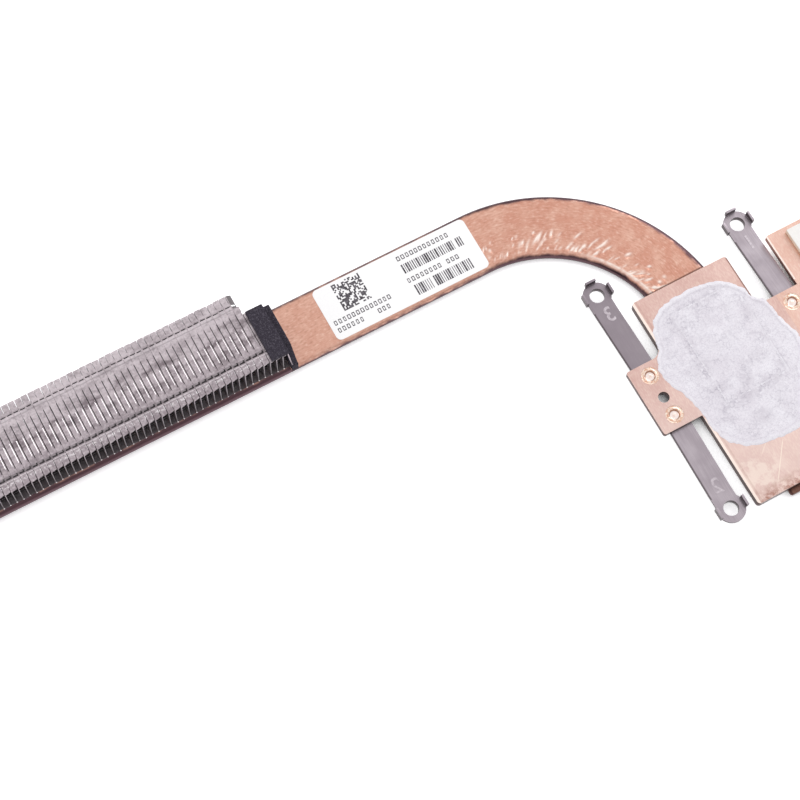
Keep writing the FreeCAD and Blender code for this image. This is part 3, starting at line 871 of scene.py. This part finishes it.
def clinch_mesh(turns=40):
    """A clinched stud: coined ring, rounded lip, steep wall and crowned floor, closed below."""
    profile = ((1.53, -0.01), (1.42, -0.03), (1.3, -0.04), (1.2, -0.02), (1.1, 0.02), (0.99, 0.01),
               (0.9, -0.05), (0.83, -0.16), (0.76, -0.42), (0.66, -0.47), (0.45, -0.43),
               (0.25, -0.4), (0.02, -0.39), (0.02, -0.6), (0.89, -0.6), (0.89, -0.12),
               (1.53, -0.12))
    points = []
    for i in range(turns + 1):
        angle = 2 * math.pi * (i % turns) / turns
        points.extend((r * MM * math.cos(angle), r * MM * math.sin(angle), z * MM)
                      for r, z in profile)
    n = len(profile)
    faces = [tuple(v % (turns * n) for v in face) for face in quads_between(turns + 1, n)]
    return mesh_from("clinch", points[:turns * n], faces, sharp_angle=60)


def stud_tree():
    """A copy of the template at each corner of a rectangle."""
    tree, given = start_tree("Clinch studs", **{"Span X": "Float", "Span Y": "Float",
                                                "Middle": "Vector", "Finish": "Material"})
    grid = add(tree, "GeometryNodeMeshGrid", (given["Span X"], given["Span Y"], 2, 2))
    moved = add(tree, "GeometryNodeTransform", {"Geometry": grid, "Translation": given["Middle"]})
    return end_tree(tree, given, moved)


class HEATSINK_OT_cold_plate(Operator):
    """Rounds the stamped copper plate's edges and sets the four clinched studs in its tabs"""
    bl_idname = "heatsink.cold_plate"
    bl_label = "Cold plate"

    def execute(self, context):
        s = context.scene.heatsink_plate
        plate = rounded_sheet("cold_plate", "stamped_cold_plate", s.edge_round,
                              lowest_wall=0.3 * MM)
        dress(plate, plate_copper(s), "plate_copper", "cold_plate")
        punched = punched_copper(s)
        studs = run_tree("clinched_studs", clinch_mesh(), stud_tree(), **{
            "Span X": s.stud_span_x, "Span Y": s.stud_span_y,
            "Middle": (s.stud_mid_x, s.stud_mid_y, PLATE[1].z), "Finish": punched})
        dress(studs, punched, "plate_copper")
        return {"FINISHED"}


def digit_mesh(digit, x, y, strip, s):
    """One raised digit laid on the strip, mirrored because it is embossed from the other side."""
    curve = bpy.data.curves.new("digit", "FONT")
    curve.body = str(digit)
    curve.size = s.digit_height * FONT_SIZE
    curve.extrude = s.digit_relief
    curve.offset = s.digit_stroke
    curve.align_x = curve.align_y = "CENTER"
    curve.resolution_u = 4
    mesh = mesh_from_curve(curve)
    for vert in mesh.vertices:
        spot = Vector((x * MM + DIGIT_MIRROR * vert.co.x, y * MM + vert.co.y, 0))
        hit, place, _, _ = strip.ray_cast(spot + Vector((0, 0, 10 * MM)), Vector((0, 0, -1)))
        if not hit:
            raise RuntimeError(f"digit {digit} lies beside its strip")
        vert.co = spot + Vector((0, 0, place.z + vert.co.z))
    mesh.flip_normals()
    return mesh


class HEATSINK_OT_spring_arms(Operator):
    """Rounds the sheared edges of both spring arms and raises the digits of the screw order"""
    bl_idname = "heatsink.spring_arms"
    bl_label = "Spring arms"

    def execute(self, context):
        s = context.scene.heatsink_arm
        steel = spring_steel(s)
        strips = []
        for node in ("left_spring_arm", "right_spring_arm"):
            strip = rounded_sheet(node, node + "_strip", s.edge_round, lowest_wall=0.2 * MM)
            strips.append(dress(strip, steel, "spring_steel", node))
        context.view_layer.update()
        digits = joined("digits", [digit_mesh(digit, x, y, strips[x > 0], s)
                                   for digit, x, y in DIGITS])
        dress(new_object("embossed_screw_order", digits), embossed_steel(s), "spring_steel")
        return {"FINISHED"}


def fin_section(f, reach, tilt):
    """Section of a fin from the free edge of its top flange to that of its foot, from the front."""
    r, bends = f.bend, (0.52, 1.05, 1.5708)
    line = [(reach, FIN_TOP + tilt)] + [(f.pitch * share, FIN_TOP) for share in HOOK_COLUMNS]
    line += [(r, FIN_TOP)]
    line += [(r - r * math.sin(a), FIN_TOP - r + r * math.cos(a)) for a in bends]
    line += [(0.0, FIN_FOOT + share * (FIN_TOP - FIN_FOOT)) for share in (0.8, 0.6, 0.4, 0.2)]
    line += [(0.0, FIN_FOOT + r)]
    line += [(r - r * math.cos(a), FIN_FOOT + r - r * math.sin(a)) for a in bends]
    return line + [(f.pitch - 0.03 * MM, FIN_FOOT)]


def fin_stations(f, depth, hooks):
    """Places along a fin, each with the reach of its top flange and the tilt of its edge."""
    full, cut, seam = f.pitch + 0.01 * MM, f.pitch - f.slit, f.pitch - 0.05 * MM
    slit_end = min(f.slit_back, depth - f.slit_front)
    rows = [(0.0, seam, -0.1 * MM), (0.7 * MM, seam, -0.04 * MM),
            (hooks[0] - f.crease - 0.2 * MM, seam, 0.0)]
    rows += [(hook - f.crease + gap * MM, full, 0.0)
             for hook in hooks[1:] for gap in (-0.42, -0.24)]
    for hook in hooks:
        rows += [(hook - f.crease + gap * MM, full, 0.0) for gap in (-0.06, 0.05)]
        rows += [(hook + gap, full, 0.0) for gap in (0.0, f.hook_width, f.hook_length)]
    rows += [(f.slit_front, full, 0.0), (f.slit_front + 0.05 * MM, cut, 0.0)]
    rows += [(slit_end - 0.05 * MM, cut, 0.0), (slit_end, full, 0.0)]
    rows += [(depth - f.torn_length, full, 0.0), (depth - 1.25 * MM, seam - 0.04 * MM, 0.0),
             (depth - 0.3 * MM, seam - 0.04 * MM, 0.0), (depth, full, -0.05 * MM)]
    return sorted(rows)


def cut_away(f, y, column, hooks):
    """Tells whether a cell of the top flange is open, as part of a hook slot."""
    across = any(hook < y < hook + f.hook_width for hook in hooks)
    along = f.front_hook + f.hook_width < y < f.front_hook + f.hook_length
    return across and column in (1, 2) or along and column == 1


def add_block(points, faces, low, high):
    """Adds a small block."""
    n = len(points)
    xs, ys, zs = zip(low, high)
    points += [(x, y, z) for x in xs for y in ys for z in zs]
    for quad in ((0, 1, 3, 2), (4, 6, 7, 5), (0, 4, 5, 1),
                 (2, 3, 7, 6), (0, 2, 6, 4), (1, 5, 7, 3)):
        faces.append(tuple(n + i for i in quad))


def add_lip(points, faces, f, front, back):
    """Adds the flange's edge in the front half of the slit, pointed at both ends; it gets a painted
    highlight.
    """
    n, x, rise = len(points), f.pitch - f.slit - 0.14 * MM, 0.14 * MM
    shape = [(0.0, front), (0.8, front + 0.5 * MM), (1.0, front + 1.2 * MM),
             (1.0, back - 0.9 * MM), (0.6, back - 0.3 * MM), (0.0, back)]
    points.extend((x + share * f.lip, y, FIN_TOP - 0.12 * MM) for share, y in shape)
    # The rolled edge slopes down into the slit, which turns it to the light.
    points.extend((x + share * f.lip, y, FIN_TOP + (1 - share) * rise) for share, y in shape)
    k = len(shape)
    faces += [tuple(n + i for i in range(k)), tuple(n + k + i for i in range(k))]
    faces += [(n + i, n + (i + 1) % k, n + k + (i + 1) % k, n + k + i) for i in range(k)]


def folded_fin(f, depth, hooks, torn):
    """One fin: folded sheet with its slit, hook slots, tongues and the lip in the slit, and the
    painted light of each face.
    """
    torn_from = depth - f.torn_length if torn else math.inf
    torn_reach, droop = 0.95 * MM, 0.75
    rows = fin_stations(f, depth, hooks)
    points, faces = [], []
    for y, reach, tilt in rows:
        line = fin_section(f, reach, tilt)
        if y > torn_from:
            # The torn end of the flange hangs down into the channel.
            line = [(min(x, torn_reach), z - droop * max(0.0, x - f.bend) * (z > FIN_TOP - f.bend))
                    for x, z in line]
        # The front ends of the top flanges are sheared at a slant: the stack's front is a saw.
        slope, reach = (0.2, 0.22 * MM) if y == 0.0 else (0.0, 0.0)
        points.extend((x, y + (slope * x - reach) * (z > FIN_TOP - f.bend), z) for x, z in line)
    n = len(points) // len(rows)
    for i, face in enumerate(quads_between(len(rows), n, closed=False)):
        row, column = divmod(i, n - 1)
        if not cut_away(f, (rows[row][0] + rows[row + 1][0]) / 2, column, hooks):
            faces.append(face)
    sheet = new_object("fin_sheet", mesh_from("fin_sheet", points, faces))
    solid = sheet.modifiers.new("Sheet", "SOLIDIFY")
    solid.thickness = f.sheet
    solid.offset = -1.0 if sheet.data.polygons[0].normal.z > 0 else 1.0
    folded = apply_modifiers(sheet).data
    bpy.data.objects.remove(sheet)
    points, faces = [], []
    for hook in (hook for hook in hooks if hook < torn_from):
        slot, behind = hook + f.hook_width, hook + f.hook_length
        add_block(points, faces, (0.3 * f.pitch, slot + 0.02 * MM, FIN_TOP - 0.02 * MM),
                  (0.66 * f.pitch, hook + 0.8 * f.hook_length, FIN_TOP + 0.01 * MM))
        if hook == f.back_hook:
            add_block(points, faces, (0.14 * f.pitch, hook + 0.2 * MM, FIN_TOP - 0.16 * MM),
                      (0.9 * f.pitch, slot, FIN_TOP - 0.05 * MM))
        # The next fin's tab hangs down behind the slot and closes the view through it.
        add_block(points, faces, (0.1 * f.pitch, behind + 0.02 * MM, FIN_TOP - f.tab_drop),
                  (0.93 * f.pitch, behind + 0.12 * MM, FIN_TOP - f.sheet))
    slit_end = min(f.slit_back, depth - f.slit_front)
    add_lip(points, faces, f, f.slit_front + 0.35 * MM,
            f.slit_front + 0.6 * (slit_end - f.slit_front))
    mesh = joined("fin", [folded, mesh_from("fin_extra", points, faces)], sharp_angle=30)
    mark_points(mesh, "FACE", tone=[fin_tone(face, f, hooks, torn_from) for face in mesh.polygons])
    return mesh


def fin_tone(face, f, hooks, torn_from):
    """Painted light of a fin's face: above nought for painted highlights on lips and creases, below
    it for painted shade on webs, slots, tabs and the torn flange.
    """
    c, n = face.center, face.normal
    level = n.z > 0.8
    # Painted shade on the torn flange that hangs into the channel.
    if c.y > torn_from and c.x > f.bend:
        return -1.0
    # Painted highlight on the lips, which face the lamp.
    if n.x > 0.3 and n.z > 0.85:
        return 1.0
    # Painted highlight along the creases, brighter at the front ones.
    if level and any(abs(c.y - hook + f.crease) < 0.07 * MM for hook in hooks):
        return 0.45 if c.y < 0.5 * f.back_hook else 0.15
    # Painted shadow under the back creases.
    if level and any(abs(c.y - hook + f.crease + 0.33 * MM) < 0.08 * MM for hook in hooks[1:]):
        return -0.35
    # Painted shade round the front hook slot.
    if level and -0.05 * MM < c.y - hooks[0] < f.hook_length:
        return -0.5
    # Painted shade on the tabs behind the back slots.
    if FIN_TOP - 1.7 * MM < c.z < FIN_TOP - 0.2 * MM and c.y > 0.8 * f.back_hook and c.x > f.bend:
        return -0.5
    # Painted shade on the webs' front rims, deeper towards the foot.
    if n.y < -0.9 and c.z < FIN_TOP - 0.12 * MM and c.y < 0.3 * MM:
        return -0.1 - 0.9 * (FIN_TOP - c.z) / (FIN_TOP - FIN_FOOT)
    # Painted shade on the webs down in the channels, lighter near the front.
    if c.z < FIN_TOP - 0.2 * MM:
        return -0.6 if c.y < 1.2 * MM else -1.0
    return 0.0


def stack_tree():
    """A row of copies of the template along X, each turned and shifted a little at random."""
    tree, given = start_tree("Fin stack", Count="Int", Pitch="Float", Start="Vector", Slant="Float",
                             Shift="Float", Seed="Int", Finish="Material")
    step = add(tree, "CombineXYZ", (given["Pitch"],))
    line = add(tree, "GeometryNodeMeshLine", {
        "Count": given["Count"], "Start Location": given["Start"], "Offset": step})
    next_seed = add(tree, "Math", (given["Seed"], 1.0))
    slide, lean = (add(tree, "FunctionNodeRandomValue", {
        2: add(tree, "Math", (given[most], -1.0), operation="MULTIPLY"), 3: given[most],
        "Seed": start}) for most, start in (("Shift", given["Seed"]), ("Slant", next_seed)))
    slide = add(tree, "CombineXYZ", {"Y": slide})
    moved = add(tree, "GeometryNodeSetPosition", {"Geometry": line, "Offset": slide})
    turn = add(tree, "CombineXYZ", {"Y": lean, "Z": lean})
    return end_tree(tree, given, moved, Rotation=turn)


def bead_mesh(radius):
    bead = bmesh.new()
    bmesh.ops.create_icosphere(bead, subdivisions=2, radius=radius)
    return mesh_of("bead", bead, sharp_angle=60)


def solder_run(points, radius):
    """A run of solder through the points, thinner towards both ends."""
    curve = bpy.data.curves.new("solder_run", "CURVE")
    curve.dimensions = "3D"
    curve.bevel_depth = radius
    curve.bevel_resolution = 2
    curve.use_fill_caps = True
    spline = curve.splines.new("POLY")
    spline.points.add(len(points) - 1)
    for i, place in enumerate(points):
        spline.points[i].co = (*place, 1.0)
        spline.points[i].radius = 0.4 + 0.6 * math.sin(math.pi * (i + 0.5) / len(points))
    return new_object("solder_run", smooth(mesh_from_curve(curve), sharp_angle=60))


class HEATSINK_OT_fin_stack(Operator):
    """Folds one long and one short fin and repeats them along the stack"""
    bl_idname = "heatsink.fin_stack"
    bl_label = "Fin stack"

    def execute(self, context):
        f = context.scene.heatsink_fin
        tree, sheet = stack_tree(), tinned_sheet(f)
        long_count = f.count - f.short
        both = (f.front_hook, f.back_hook)
        # Name, first fin, number of fins, box of the first, hook slots, and whether it is torn.
        runs = (("long_fins", 0, long_count - 1, FIRST_FIN, both, False),
                ("torn_fin", long_count - 1, 1, FIRST_FIN, both, True),
                ("short_fins", long_count, f.short, LAST_FIN, both[:1], False))
        for name, first, count, (low, high), hooks, torn in runs:
            start = Vector((FIRST_FIN[0].x + first * f.pitch, low.y, 0))
            fins = run_tree(name, folded_fin(f, high.y - low.y, hooks, torn), tree, Count=count,
                            Pitch=f.pitch, Start=start, Slant=f.slant, Shift=f.shift,
                            Seed=f.seed + first, Finish=sheet)
            dress(fins, sheet, "tinned_fin", *FIN_NODES[first:first + count])
        solder = tin_solder(f)
        start = [foot + gap * MM for foot, gap in zip(FIRST_FIN[0], (0.1, 0.05, 0.22))]
        beads = run_tree("solder_beads", bead_mesh(f.bead), tree, Count=f.count, Pitch=f.pitch,
                         Start=start, Slant=0.5, Shift=0.07 * MM, Seed=f.seed + 90, Finish=solder)
        dress(beads, solder, "tinned_fin")
        # Solder also ran out of the stack's front corner, over the foot of the foam there.
        low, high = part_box("foam_end_strip")
        points = []
        for share in np.linspace(0, 1, 9):
            y = low.y + (0.25 + 2.1 * share) * MM
            top = low.z + (high.z - low.z) * squeeze(y, low.y)
            points.append((low.x + (0.2 - 0.1 * share) * MM, y, top + 0.02 * MM))
        dress(solder_run(points, radius=0.13 * MM), sheet, "tinned_fin")
        return {"FINISHED"}


def closed_spline(points, per_span):
    """A smooth closed line through the points."""
    out = []
    n = len(points)
    for i in range(n):
        p0, p1, p2, p3 = (np.array(points[(i + k) % n], float) for k in (-1, 0, 1, 2))
        for t in np.arange(per_span) / per_span:
            out.append(0.5 * (2 * p1 + (p2 - p0) * t + (2 * p0 - 5 * p1 + 4 * p2 - p3) * t ** 2
                              + (3 * p1 - p0 - 3 * p2 + p3) * t ** 3))
    return np.array(out)


def bump_at(x, middle, width):
    """One at the middle, falling to nought on both sides within about the width."""
    return math.exp(-((x - middle) / width) ** 2)


def paste_mesh(p):
    """Thin smear with a beaded rim, drawn ridges and the faint print of the chip."""
    line, middle = closed_spline(PASTE_OUTLINE, 10), np.array(PASTE_MIDDLE)
    shares = np.concatenate([np.linspace(0.03, 0.86, 50), np.linspace(0.875, 0.97, 9),
                             [0.985, 0.995, 1.0]])
    thick = (PASTE[1].z - PASTE[0].z) / MM
    offset = Vector((p.seed * 7.0, 0, 0))
    points, smudge, torn, rim = [], [], [], []
    for share in shares:
        for edge in line:
            # The outline wobbles, and less so towards the middle.
            x, y = middle + (edge - middle) * share
            spot = Vector((x, y, 0)) + offset
            wobble = 0.3 * noise.noise(spot * 0.8) + 0.16 * noise.noise(spot * 2.4) - 0.1
            outward = (edge - middle) / np.linalg.norm(edge - middle)
            x, y = np.array([x, y]) + outward * wobble * share ** 6
            # The skin is thicker outside the chip's print, with a wall where its edge pressed.
            inside = max(CHIP[0] - x, x - CHIP[1], CHIP[2] - y, y - CHIP[3])
            inside += 0.9 * noise.noise(spot * 0.5) + 0.3 * noise.noise(spot * 1.9)
            step = float(smoothstep(-0.5, 0.4, np.array(inside)))
            wall = bump_at(inside, 0.0, 0.3) * (0.6 + 0.8 * noise.noise(spot * 0.6))
            flow = Vector((x * 0.35, y * 0.9, 3.0)) + offset
            ridge = noise.ridged_multi_fractal(flow * 0.6, 1.0, 2.1, 3, 0.9, 1.6) - 1.0
            height = 0.45 * thick + 0.1 * thick * step + 0.12 * thick * wall
            lumps = 0.8 * noise.noise(spot * 1.7) * (0.4 + 0.6 * step)
            height += p.ridge / MM * (0.6 * ridge + lumps)
            height += p.rim / MM * bump_at(share, 0.955, 0.02)
            fall = math.sqrt(max(0.0, 1 - ((share - 0.97) / 0.03) ** 2)) if share > 0.97 else 1.0
            height = min(max(height, 0.03), thick) * fall
            points.append((x * MM, y * MM, PASTE[0].z + height * MM))
            # It is torn near the print's edge, and quiet at the right.
            quiet = 1.0 - 0.7 * float(smoothstep(5.5, 8.0, np.array(x)))
            tear = 0.6 * bump_at(inside, 0.0, 0.9) + 0.25 + 0.6 * noise.noise(spot * 0.4)
            torn.append(min(1.0, tear) * (1 - share ** 9) * quiet)
            drift = 0.02 * noise.noise(spot * 0.9)
            rim.append(bump_at(share, 0.975, 0.02) - 0.8 * bump_at(share + drift, 0.935, 0.012))
            spots = (bump_at(math.hypot(x - a, y - b), 0, r) for a, b, r in SMUDGES)
            smudge.append(min(1.0, sum(spots)))
    n = len(line)
    last = (len(shares) - 1) * n
    faces = [tuple(range(n)), *quads_between(len(shares), n), tuple(last + i for i in range(n))]
    mesh = mesh_from("paste_skin", points, faces, sharp_angle=60)
    mark_points(mesh, smudge=smudge, torn=torn, rim=rim)
    return mesh


class HEATSINK_OT_thermal_paste(Operator):
    """Spreads the dried paste over the contact face, with its rim and ridges"""
    bl_idname = "heatsink.thermal_paste"
    bl_label = "Thermal paste"

    def execute(self, context):
        s = context.scene.heatsink_paste
        skin = new_object("dried_paste", paste_mesh(s))
        dress(skin, dried_paste(s), "thermal_paste", "thermal_paste")
        return {"FINISHED"}


def soft_block(name, low, high, radius, step, depth, grain, pillow=0.0):
    """A block of soft sheet with rounded, slightly uneven faces."""
    low, high, rounding = np.array(low), np.array(high), np.array([.3, 1])
    shape = bmesh.new()
    for axis in range(3):
        u, v = [a for a in range(3) if a != axis]
        # Two lines of points near each edge follow its rounding.
        us, vs = (np.unique(np.concatenate([
            np.linspace(low[a], high[a], max(4, int((high[a] - low[a]) / step))),
            low[a] + radius * rounding, high[a] - radius * rounding])) for a in (u, v))
        for end in (low[axis], high[axis]):
            grid = []
            for a in us:
                for b in vs:
                    p = np.zeros(3)
                    p[axis], p[u], p[v] = end, a, b
                    core = np.clip(p, low + radius, high - radius)
                    away = p - core
                    grid.append(shape.verts.new(core + away / np.linalg.norm(away) * radius))
            for face in quads_between(len(us), len(vs), closed=False):
                shape.faces.new([grid[i] for i in face])
    bmesh.ops.remove_doubles(shape, verts=shape.verts, dist=0.01 * MM)
    bmesh.ops.recalc_face_normals(shape, faces=shape.faces)
    shape.normal_update()
    centre, width = (low[1] + high[1]) / 2, high[1] - low[1]
    for vert in shape.verts:
        sink = depth * (0.5 + 0.5 * noise.noise(vert.co / grain))
        off = abs((vert.co.y - centre) / width * 2) ** 3
        vert.co -= vert.normal * (sink + pillow * off * max(0.0, vert.normal.z))
    return new_object(name, mesh_of(name, shape, sharp_angle=70))


def squeeze(y, front):
    """Share of its height that the end foam keeps at y: its front end is pressed to a wedge."""
    return 0.35 + 0.65 * float(smoothstep(front, front + 3.2 * MM, np.array(y)))


class HEATSINK_OT_soft_parts(Operator):
    """Cuts the two pieces of foam at the stack's end and the thermal pad on the wing"""
    bl_idname = "heatsink.soft_parts"
    bl_label = "Foam and thermal pad"

    def execute(self, context):
        s = context.scene.heatsink_soft
        foam = open_cell_foam(s)
        for node, name in (("foam_pad", "fin_foam"), ("foam_end_strip", "end_foam")):
            low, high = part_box(node)
            block = soft_block(name, low, high, s.foam_round, step=0.16 * MM,
                               depth=s.foam_cells, grain=0.35 * MM)
            if name == "end_foam":
                for vert in block.data.vertices:
                    vert.co.z = low.z + (vert.co.z - low.z) * squeeze(vert.co.y, low.y)
            dress(block, foam, "black_foam", node)
        low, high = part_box("thermal_pad")
        pad = soft_block("gap_filler_pad", low, high, s.pad_round, step=0.3 * MM,
                         depth=0.03 * MM, grain=1.5 * MM, pillow=0.05 * MM)
        dress(pad, silicone_pad(s), "thermal_pad", "thermal_pad")
        return {"FINISHED"}


def random_choice(tree, given):
    """Tells which points keep their mark, by the share kept and the seed among the inputs."""
    return add(tree, "FunctionNodeRandomValue", {
        "Probability": given["Kept"], "Seed": given["Seed"]}, data_type="BOOLEAN")


def printed_row_tree():
    """A row of upright marks along X, each of random width, with some left out."""
    tree, given = start_tree("Printed row", Count="Int", Step="Float", Start="Vector",
                             Height="Float", Narrow="Float", Wide="Float", Kept="Float",
                             Seed="Int", Finish="Material")
    step = add(tree, "CombineXYZ", (given["Step"],))
    line = add(tree, "GeometryNodeMeshLine", {
        "Count": given["Count"], "Start Location": given["Start"], "Offset": step})
    kept = random_choice(tree, given)
    next_seed = add(tree, "Math", (given["Seed"], 1.0))
    width = add(tree, "FunctionNodeRandomValue", {
        2: given["Narrow"], 3: given["Wide"], "Seed": next_seed})
    size = add(tree, "CombineXYZ", (width, given["Height"], 1.0))
    return end_tree(tree, given, line, Selection=kept, Scale=size)


def speckle_tree():
    """A square of small dots with about half of them left out at random."""
    tree, given = start_tree("Speckle square", Side="Float", Dots="Int", Middle="Vector",
                             Kept="Float", Seed="Int", Finish="Material")
    side, dots = given["Side"], given["Dots"]
    grid = add(tree, "GeometryNodeMeshGrid", (side, side, dots, dots))
    moved = add(tree, "GeometryNodeTransform", {"Geometry": grid, "Translation": given["Middle"]})
    kept = random_choice(tree, given)
    cell = add(tree, "Math", (side, dots), operation="DIVIDE")
    # Each dot is a little wider than its cell, so that neighbours join.
    cell = add(tree, "Math", (cell, 1.06), operation="MULTIPLY")
    size = add(tree, "CombineXYZ", (cell, cell, 1.0))
    return end_tree(tree, given, moved, Selection=kept, Scale=size)


def label_mesh(s):
    """The label's film, with rounded corners."""
    low, high = LABEL
    x0, y0, x1, y1 = low.x + s.corner, low.y + s.corner, high.x - s.corner, high.y - s.corner
    outline = []
    for x, y, start in ((x1, y1, 0), (x0, y1, 90), (x0, y0, 180), (x1, y0, 270)):
        turns = [math.radians(start + i * 90 / 8) for i in range(9)]
        outline += [(x + s.corner * math.cos(a), y + s.corner * math.sin(a)) for a in turns]
    n = len(outline)
    points = [(x, y, z) for z in (high.z - s.film_thickness, high.z) for x, y in outline]
    faces = [tuple(range(n)), tuple(range(n, 2 * n)), *quads_between(2, n)]
    return mesh_from("label_film", points, faces, sharp_angle=30)


class HEATSINK_OT_label(Operator):
    """Lays the label on the pipe and prints its plain bars, strokes and speckle square"""
    bl_idname = "heatsink.label"
    bl_label = "Label"

    def execute(self, context):
        s = context.scene.heatsink_label
        dress(new_object("label_film", label_mesh(s)), polyester_film(s), "label_paper", "label")
        ink = transfer_ink(s)
        square = [(-.5, -.5, 0), (.5, -.5, 0), (.5, .5, 0), (-.5, .5, 0)]
        solid = mesh_from("mark", square, [(0, 1, 2, 3)])
        hollow = mesh_from("hollow_mark", square + [(x * 0.5, y * 0.62, 0) for x, y, _ in square],
                           [(0, 1, 5, 4), (1, 2, 6, 5), (2, 3, 7, 6), (3, 0, 4, 7)])
        z = LABEL[1].z + s.lift
        # Each kind of mark: its shape, its step, and its least and greatest width.
        marks = {"bar": (solid, 0.4, 0.1, 0.33), "stroke": (hollow, 0.84, 0.42, 0.62)}
        tree, parts = printed_row_tree(), []
        for i, (x0, x1, y, height, share, kind) in enumerate(PRINT_ROWS):
            mark, step, narrow, wide = marks[kind]
            parts.append(run_tree(
                f"print_{i}", mark, tree, Count=int((x1 - x0) / step), Step=step * MM,
                Start=(x0 * MM, y * MM, z), Height=height * MM, Narrow=narrow * MM,
                Wide=wide * MM, Kept=share, Seed=s.seed + i, Finish=ink))
        x, y, side, dots, share = PRINT_SQUARE
        parts.append(run_tree(
            "print_square", solid, speckle_tree(), Side=side * MM, Dots=dots,
            Middle=(x * MM, y * MM, z), Kept=share, Seed=s.seed, Finish=ink))
        printed = joined("label_print", [part.data for part in parts])
        for part in parts:
            bpy.data.objects.remove(part)
        dress(new_object("label_print", printed), ink, "label_paper")
        return {"FINISHED"}


def floor_board(s):
    """Matt white board, lifted to the photograph's white where a ray from the camera meets it."""
    material, tree, place = start_material("Matt white board")
    grain = add(tree, "TexNoise", {"Vector": place, "Scale": 0.5, "Detail": 2.0})
    # The lift ends where the part covers the floor, so that holes and gaps stay dark.
    cover = add(tree, "AmbientOcclusion", {"Distance": 8 * MM}, "AO", samples=20)
    clear = add(tree, "MapRange", (cover, 0.16, 0.24))
    covered = add(tree, "MapRange", (cover, 0.2, 0.12))
    # It is weaker within 1.6 mm of a wall, which leaves the soft shadow along the part's foot.
    foot = add(tree, "AmbientOcclusion", {"Distance": 1.6 * MM}, "AO", samples=6)
    foot = add(tree, "MapRange", (foot, 0.5, 0.95, 0.36, 0.7))
    # The camera's own rays see it, and those that metal or glass sends on.
    path = add(tree, "LightPath").node.outputs
    lift = path["Is Camera Ray"]
    for kind in ("Is Glossy Ray", "Is Transmission Ray"):
        lift = add(tree, "Math", (lift, path[kind]), use_clamp=True)
    for share in (clear, foot):
        lift = add(tree, "Math", (lift, share), operation="MULTIPLY")
    # Painted shade: the floor's colour turns dark grey where the part covers it.
    base = layers(tree, s.floor, ("#413c47", covered))
    return finish(material, base, [(0.02, 0.01, grain)], Roughness=0.9, Specular_IOR_Level=0.1,
                  Emission_Color=(1, 1, 1, 1), Emission_Strength=lift)


def light_world(s):
    """Light from all round, white where the camera looks at it."""
    world = bpy.data.worlds.new("Light tent")
    world.use_nodes = True
    tree = world.node_tree
    tree.nodes.clear()
    up = add(tree, "SeparateXYZ", (add(tree, "TexCoord", output="Generated"),), "Z")
    level = add(tree, "MapRange", (up, -0.1, 0.9, s.fill * 0.45, s.fill))
    camera = add(tree, "LightPath", output="Is Camera Ray")
    level = add(tree, "Mix", {0: camera, 2: level, 3: 1.0})
    back = add(tree, "Background", ((1.0, 0.99, 1.0, 1), level))
    add(tree, "OutputWorld", (back,))
    bpy.context.scene.world = world


class HEATSINK_OT_stage(Operator):
    """Sets the floor, the lamps and the camera"""
    bl_idname = "heatsink.stage"
    bl_label = "Stage"

    def execute(self, context):
        s, scene = context.scene.heatsink_stage, context.scene
        corners = ((-1, -1), (1, -1), (1, 1), (-1, 1))
        points = [(x * FLOOR_HALF, y * FLOOR_HALF, PIPE[0].z - 0.02 * MM) for x, y in corners]
        floor = new_object("floor", mesh_from("floor", points, [(0, 1, 2, 3)]))
        floor.data.materials.append(floor_board(s))
        light_world(s)
        for name, place, size, share in LAMPS:
            data = bpy.data.lights.new(name, "AREA")
            data.size, data.energy = size, s.key * share
            lamp = new_object(name, data)
            lamp.location = place
            aim = LAMP_TARGET - lamp.location
            lamp.rotation_euler = aim.to_track_quat("-Z", "Y").to_euler()
        data = bpy.data.cameras.new("camera")
        data.sensor_width, data.lens = 36.0, s.focal
        data.clip_start, data.clip_end = 0.01, 5.0
        data.shift_x, data.shift_y = CAMERA_SHIFT
        turn = Matrix((CAMERA_RIGHT, CAMERA_UP, CAMERA_RIGHT.cross(CAMERA_UP))).transposed()
        scene.camera = new_object("camera", data)
        scene.camera.matrix_world = Matrix.Translation(CAMERA_PLACE) @ turn.to_4x4()
        scene.view_settings.view_transform = "Standard"
        return {"FINISHED"}


class HEATSINK_PT_panel(Panel):
    """Lists the builders of the heatsink's pieces"""
    bl_idname = "HEATSINK_PT_panel"
    bl_label = "Heatsink"
    bl_space_type = "VIEW_3D"
    bl_region_type = "UI"
    bl_category = "Heatsink"

    def draw(self, context):
        for builder in BUILDERS:
            self.layout.operator(builder.bl_idname)


BUILDERS = (HEATSINK_OT_heat_pipe, HEATSINK_OT_cold_plate, HEATSINK_OT_spring_arms,
            HEATSINK_OT_fin_stack, HEATSINK_OT_thermal_paste, HEATSINK_OT_soft_parts,
            HEATSINK_OT_label, HEATSINK_OT_stage)
SETTINGS = {"heatsink_pipe": PipeSettings, "heatsink_plate": PlateSettings,
            "heatsink_arm": ArmSettings, "heatsink_fin": FinSettings,
            "heatsink_paste": PasteSettings, "heatsink_soft": SoftSettings,
            "heatsink_label": LabelSettings, "heatsink_stage": StageSettings}


def register():
    for group in SETTINGS.values():
        bpy.utils.register_class(group)
    for name, group in SETTINGS.items():
        setattr(bpy.types.Scene, name, PointerProperty(type=group))
    for builder in BUILDERS:
        bpy.utils.register_class(builder)
    bpy.utils.register_class(HEATSINK_PT_panel)


def unregister():
    bpy.utils.unregister_class(HEATSINK_PT_panel)
    for builder in BUILDERS:
        bpy.utils.unregister_class(builder)
    for name, group in SETTINGS.items():
        delattr(bpy.types.Scene, name)
        bpy.utils.unregister_class(group)


def main():
    register()
    for builder in BUILDERS:
        family, action = builder.bl_idname.split(".")
        getattr(getattr(bpy.ops, family), action)()


if __name__ == "__main__":
    main()
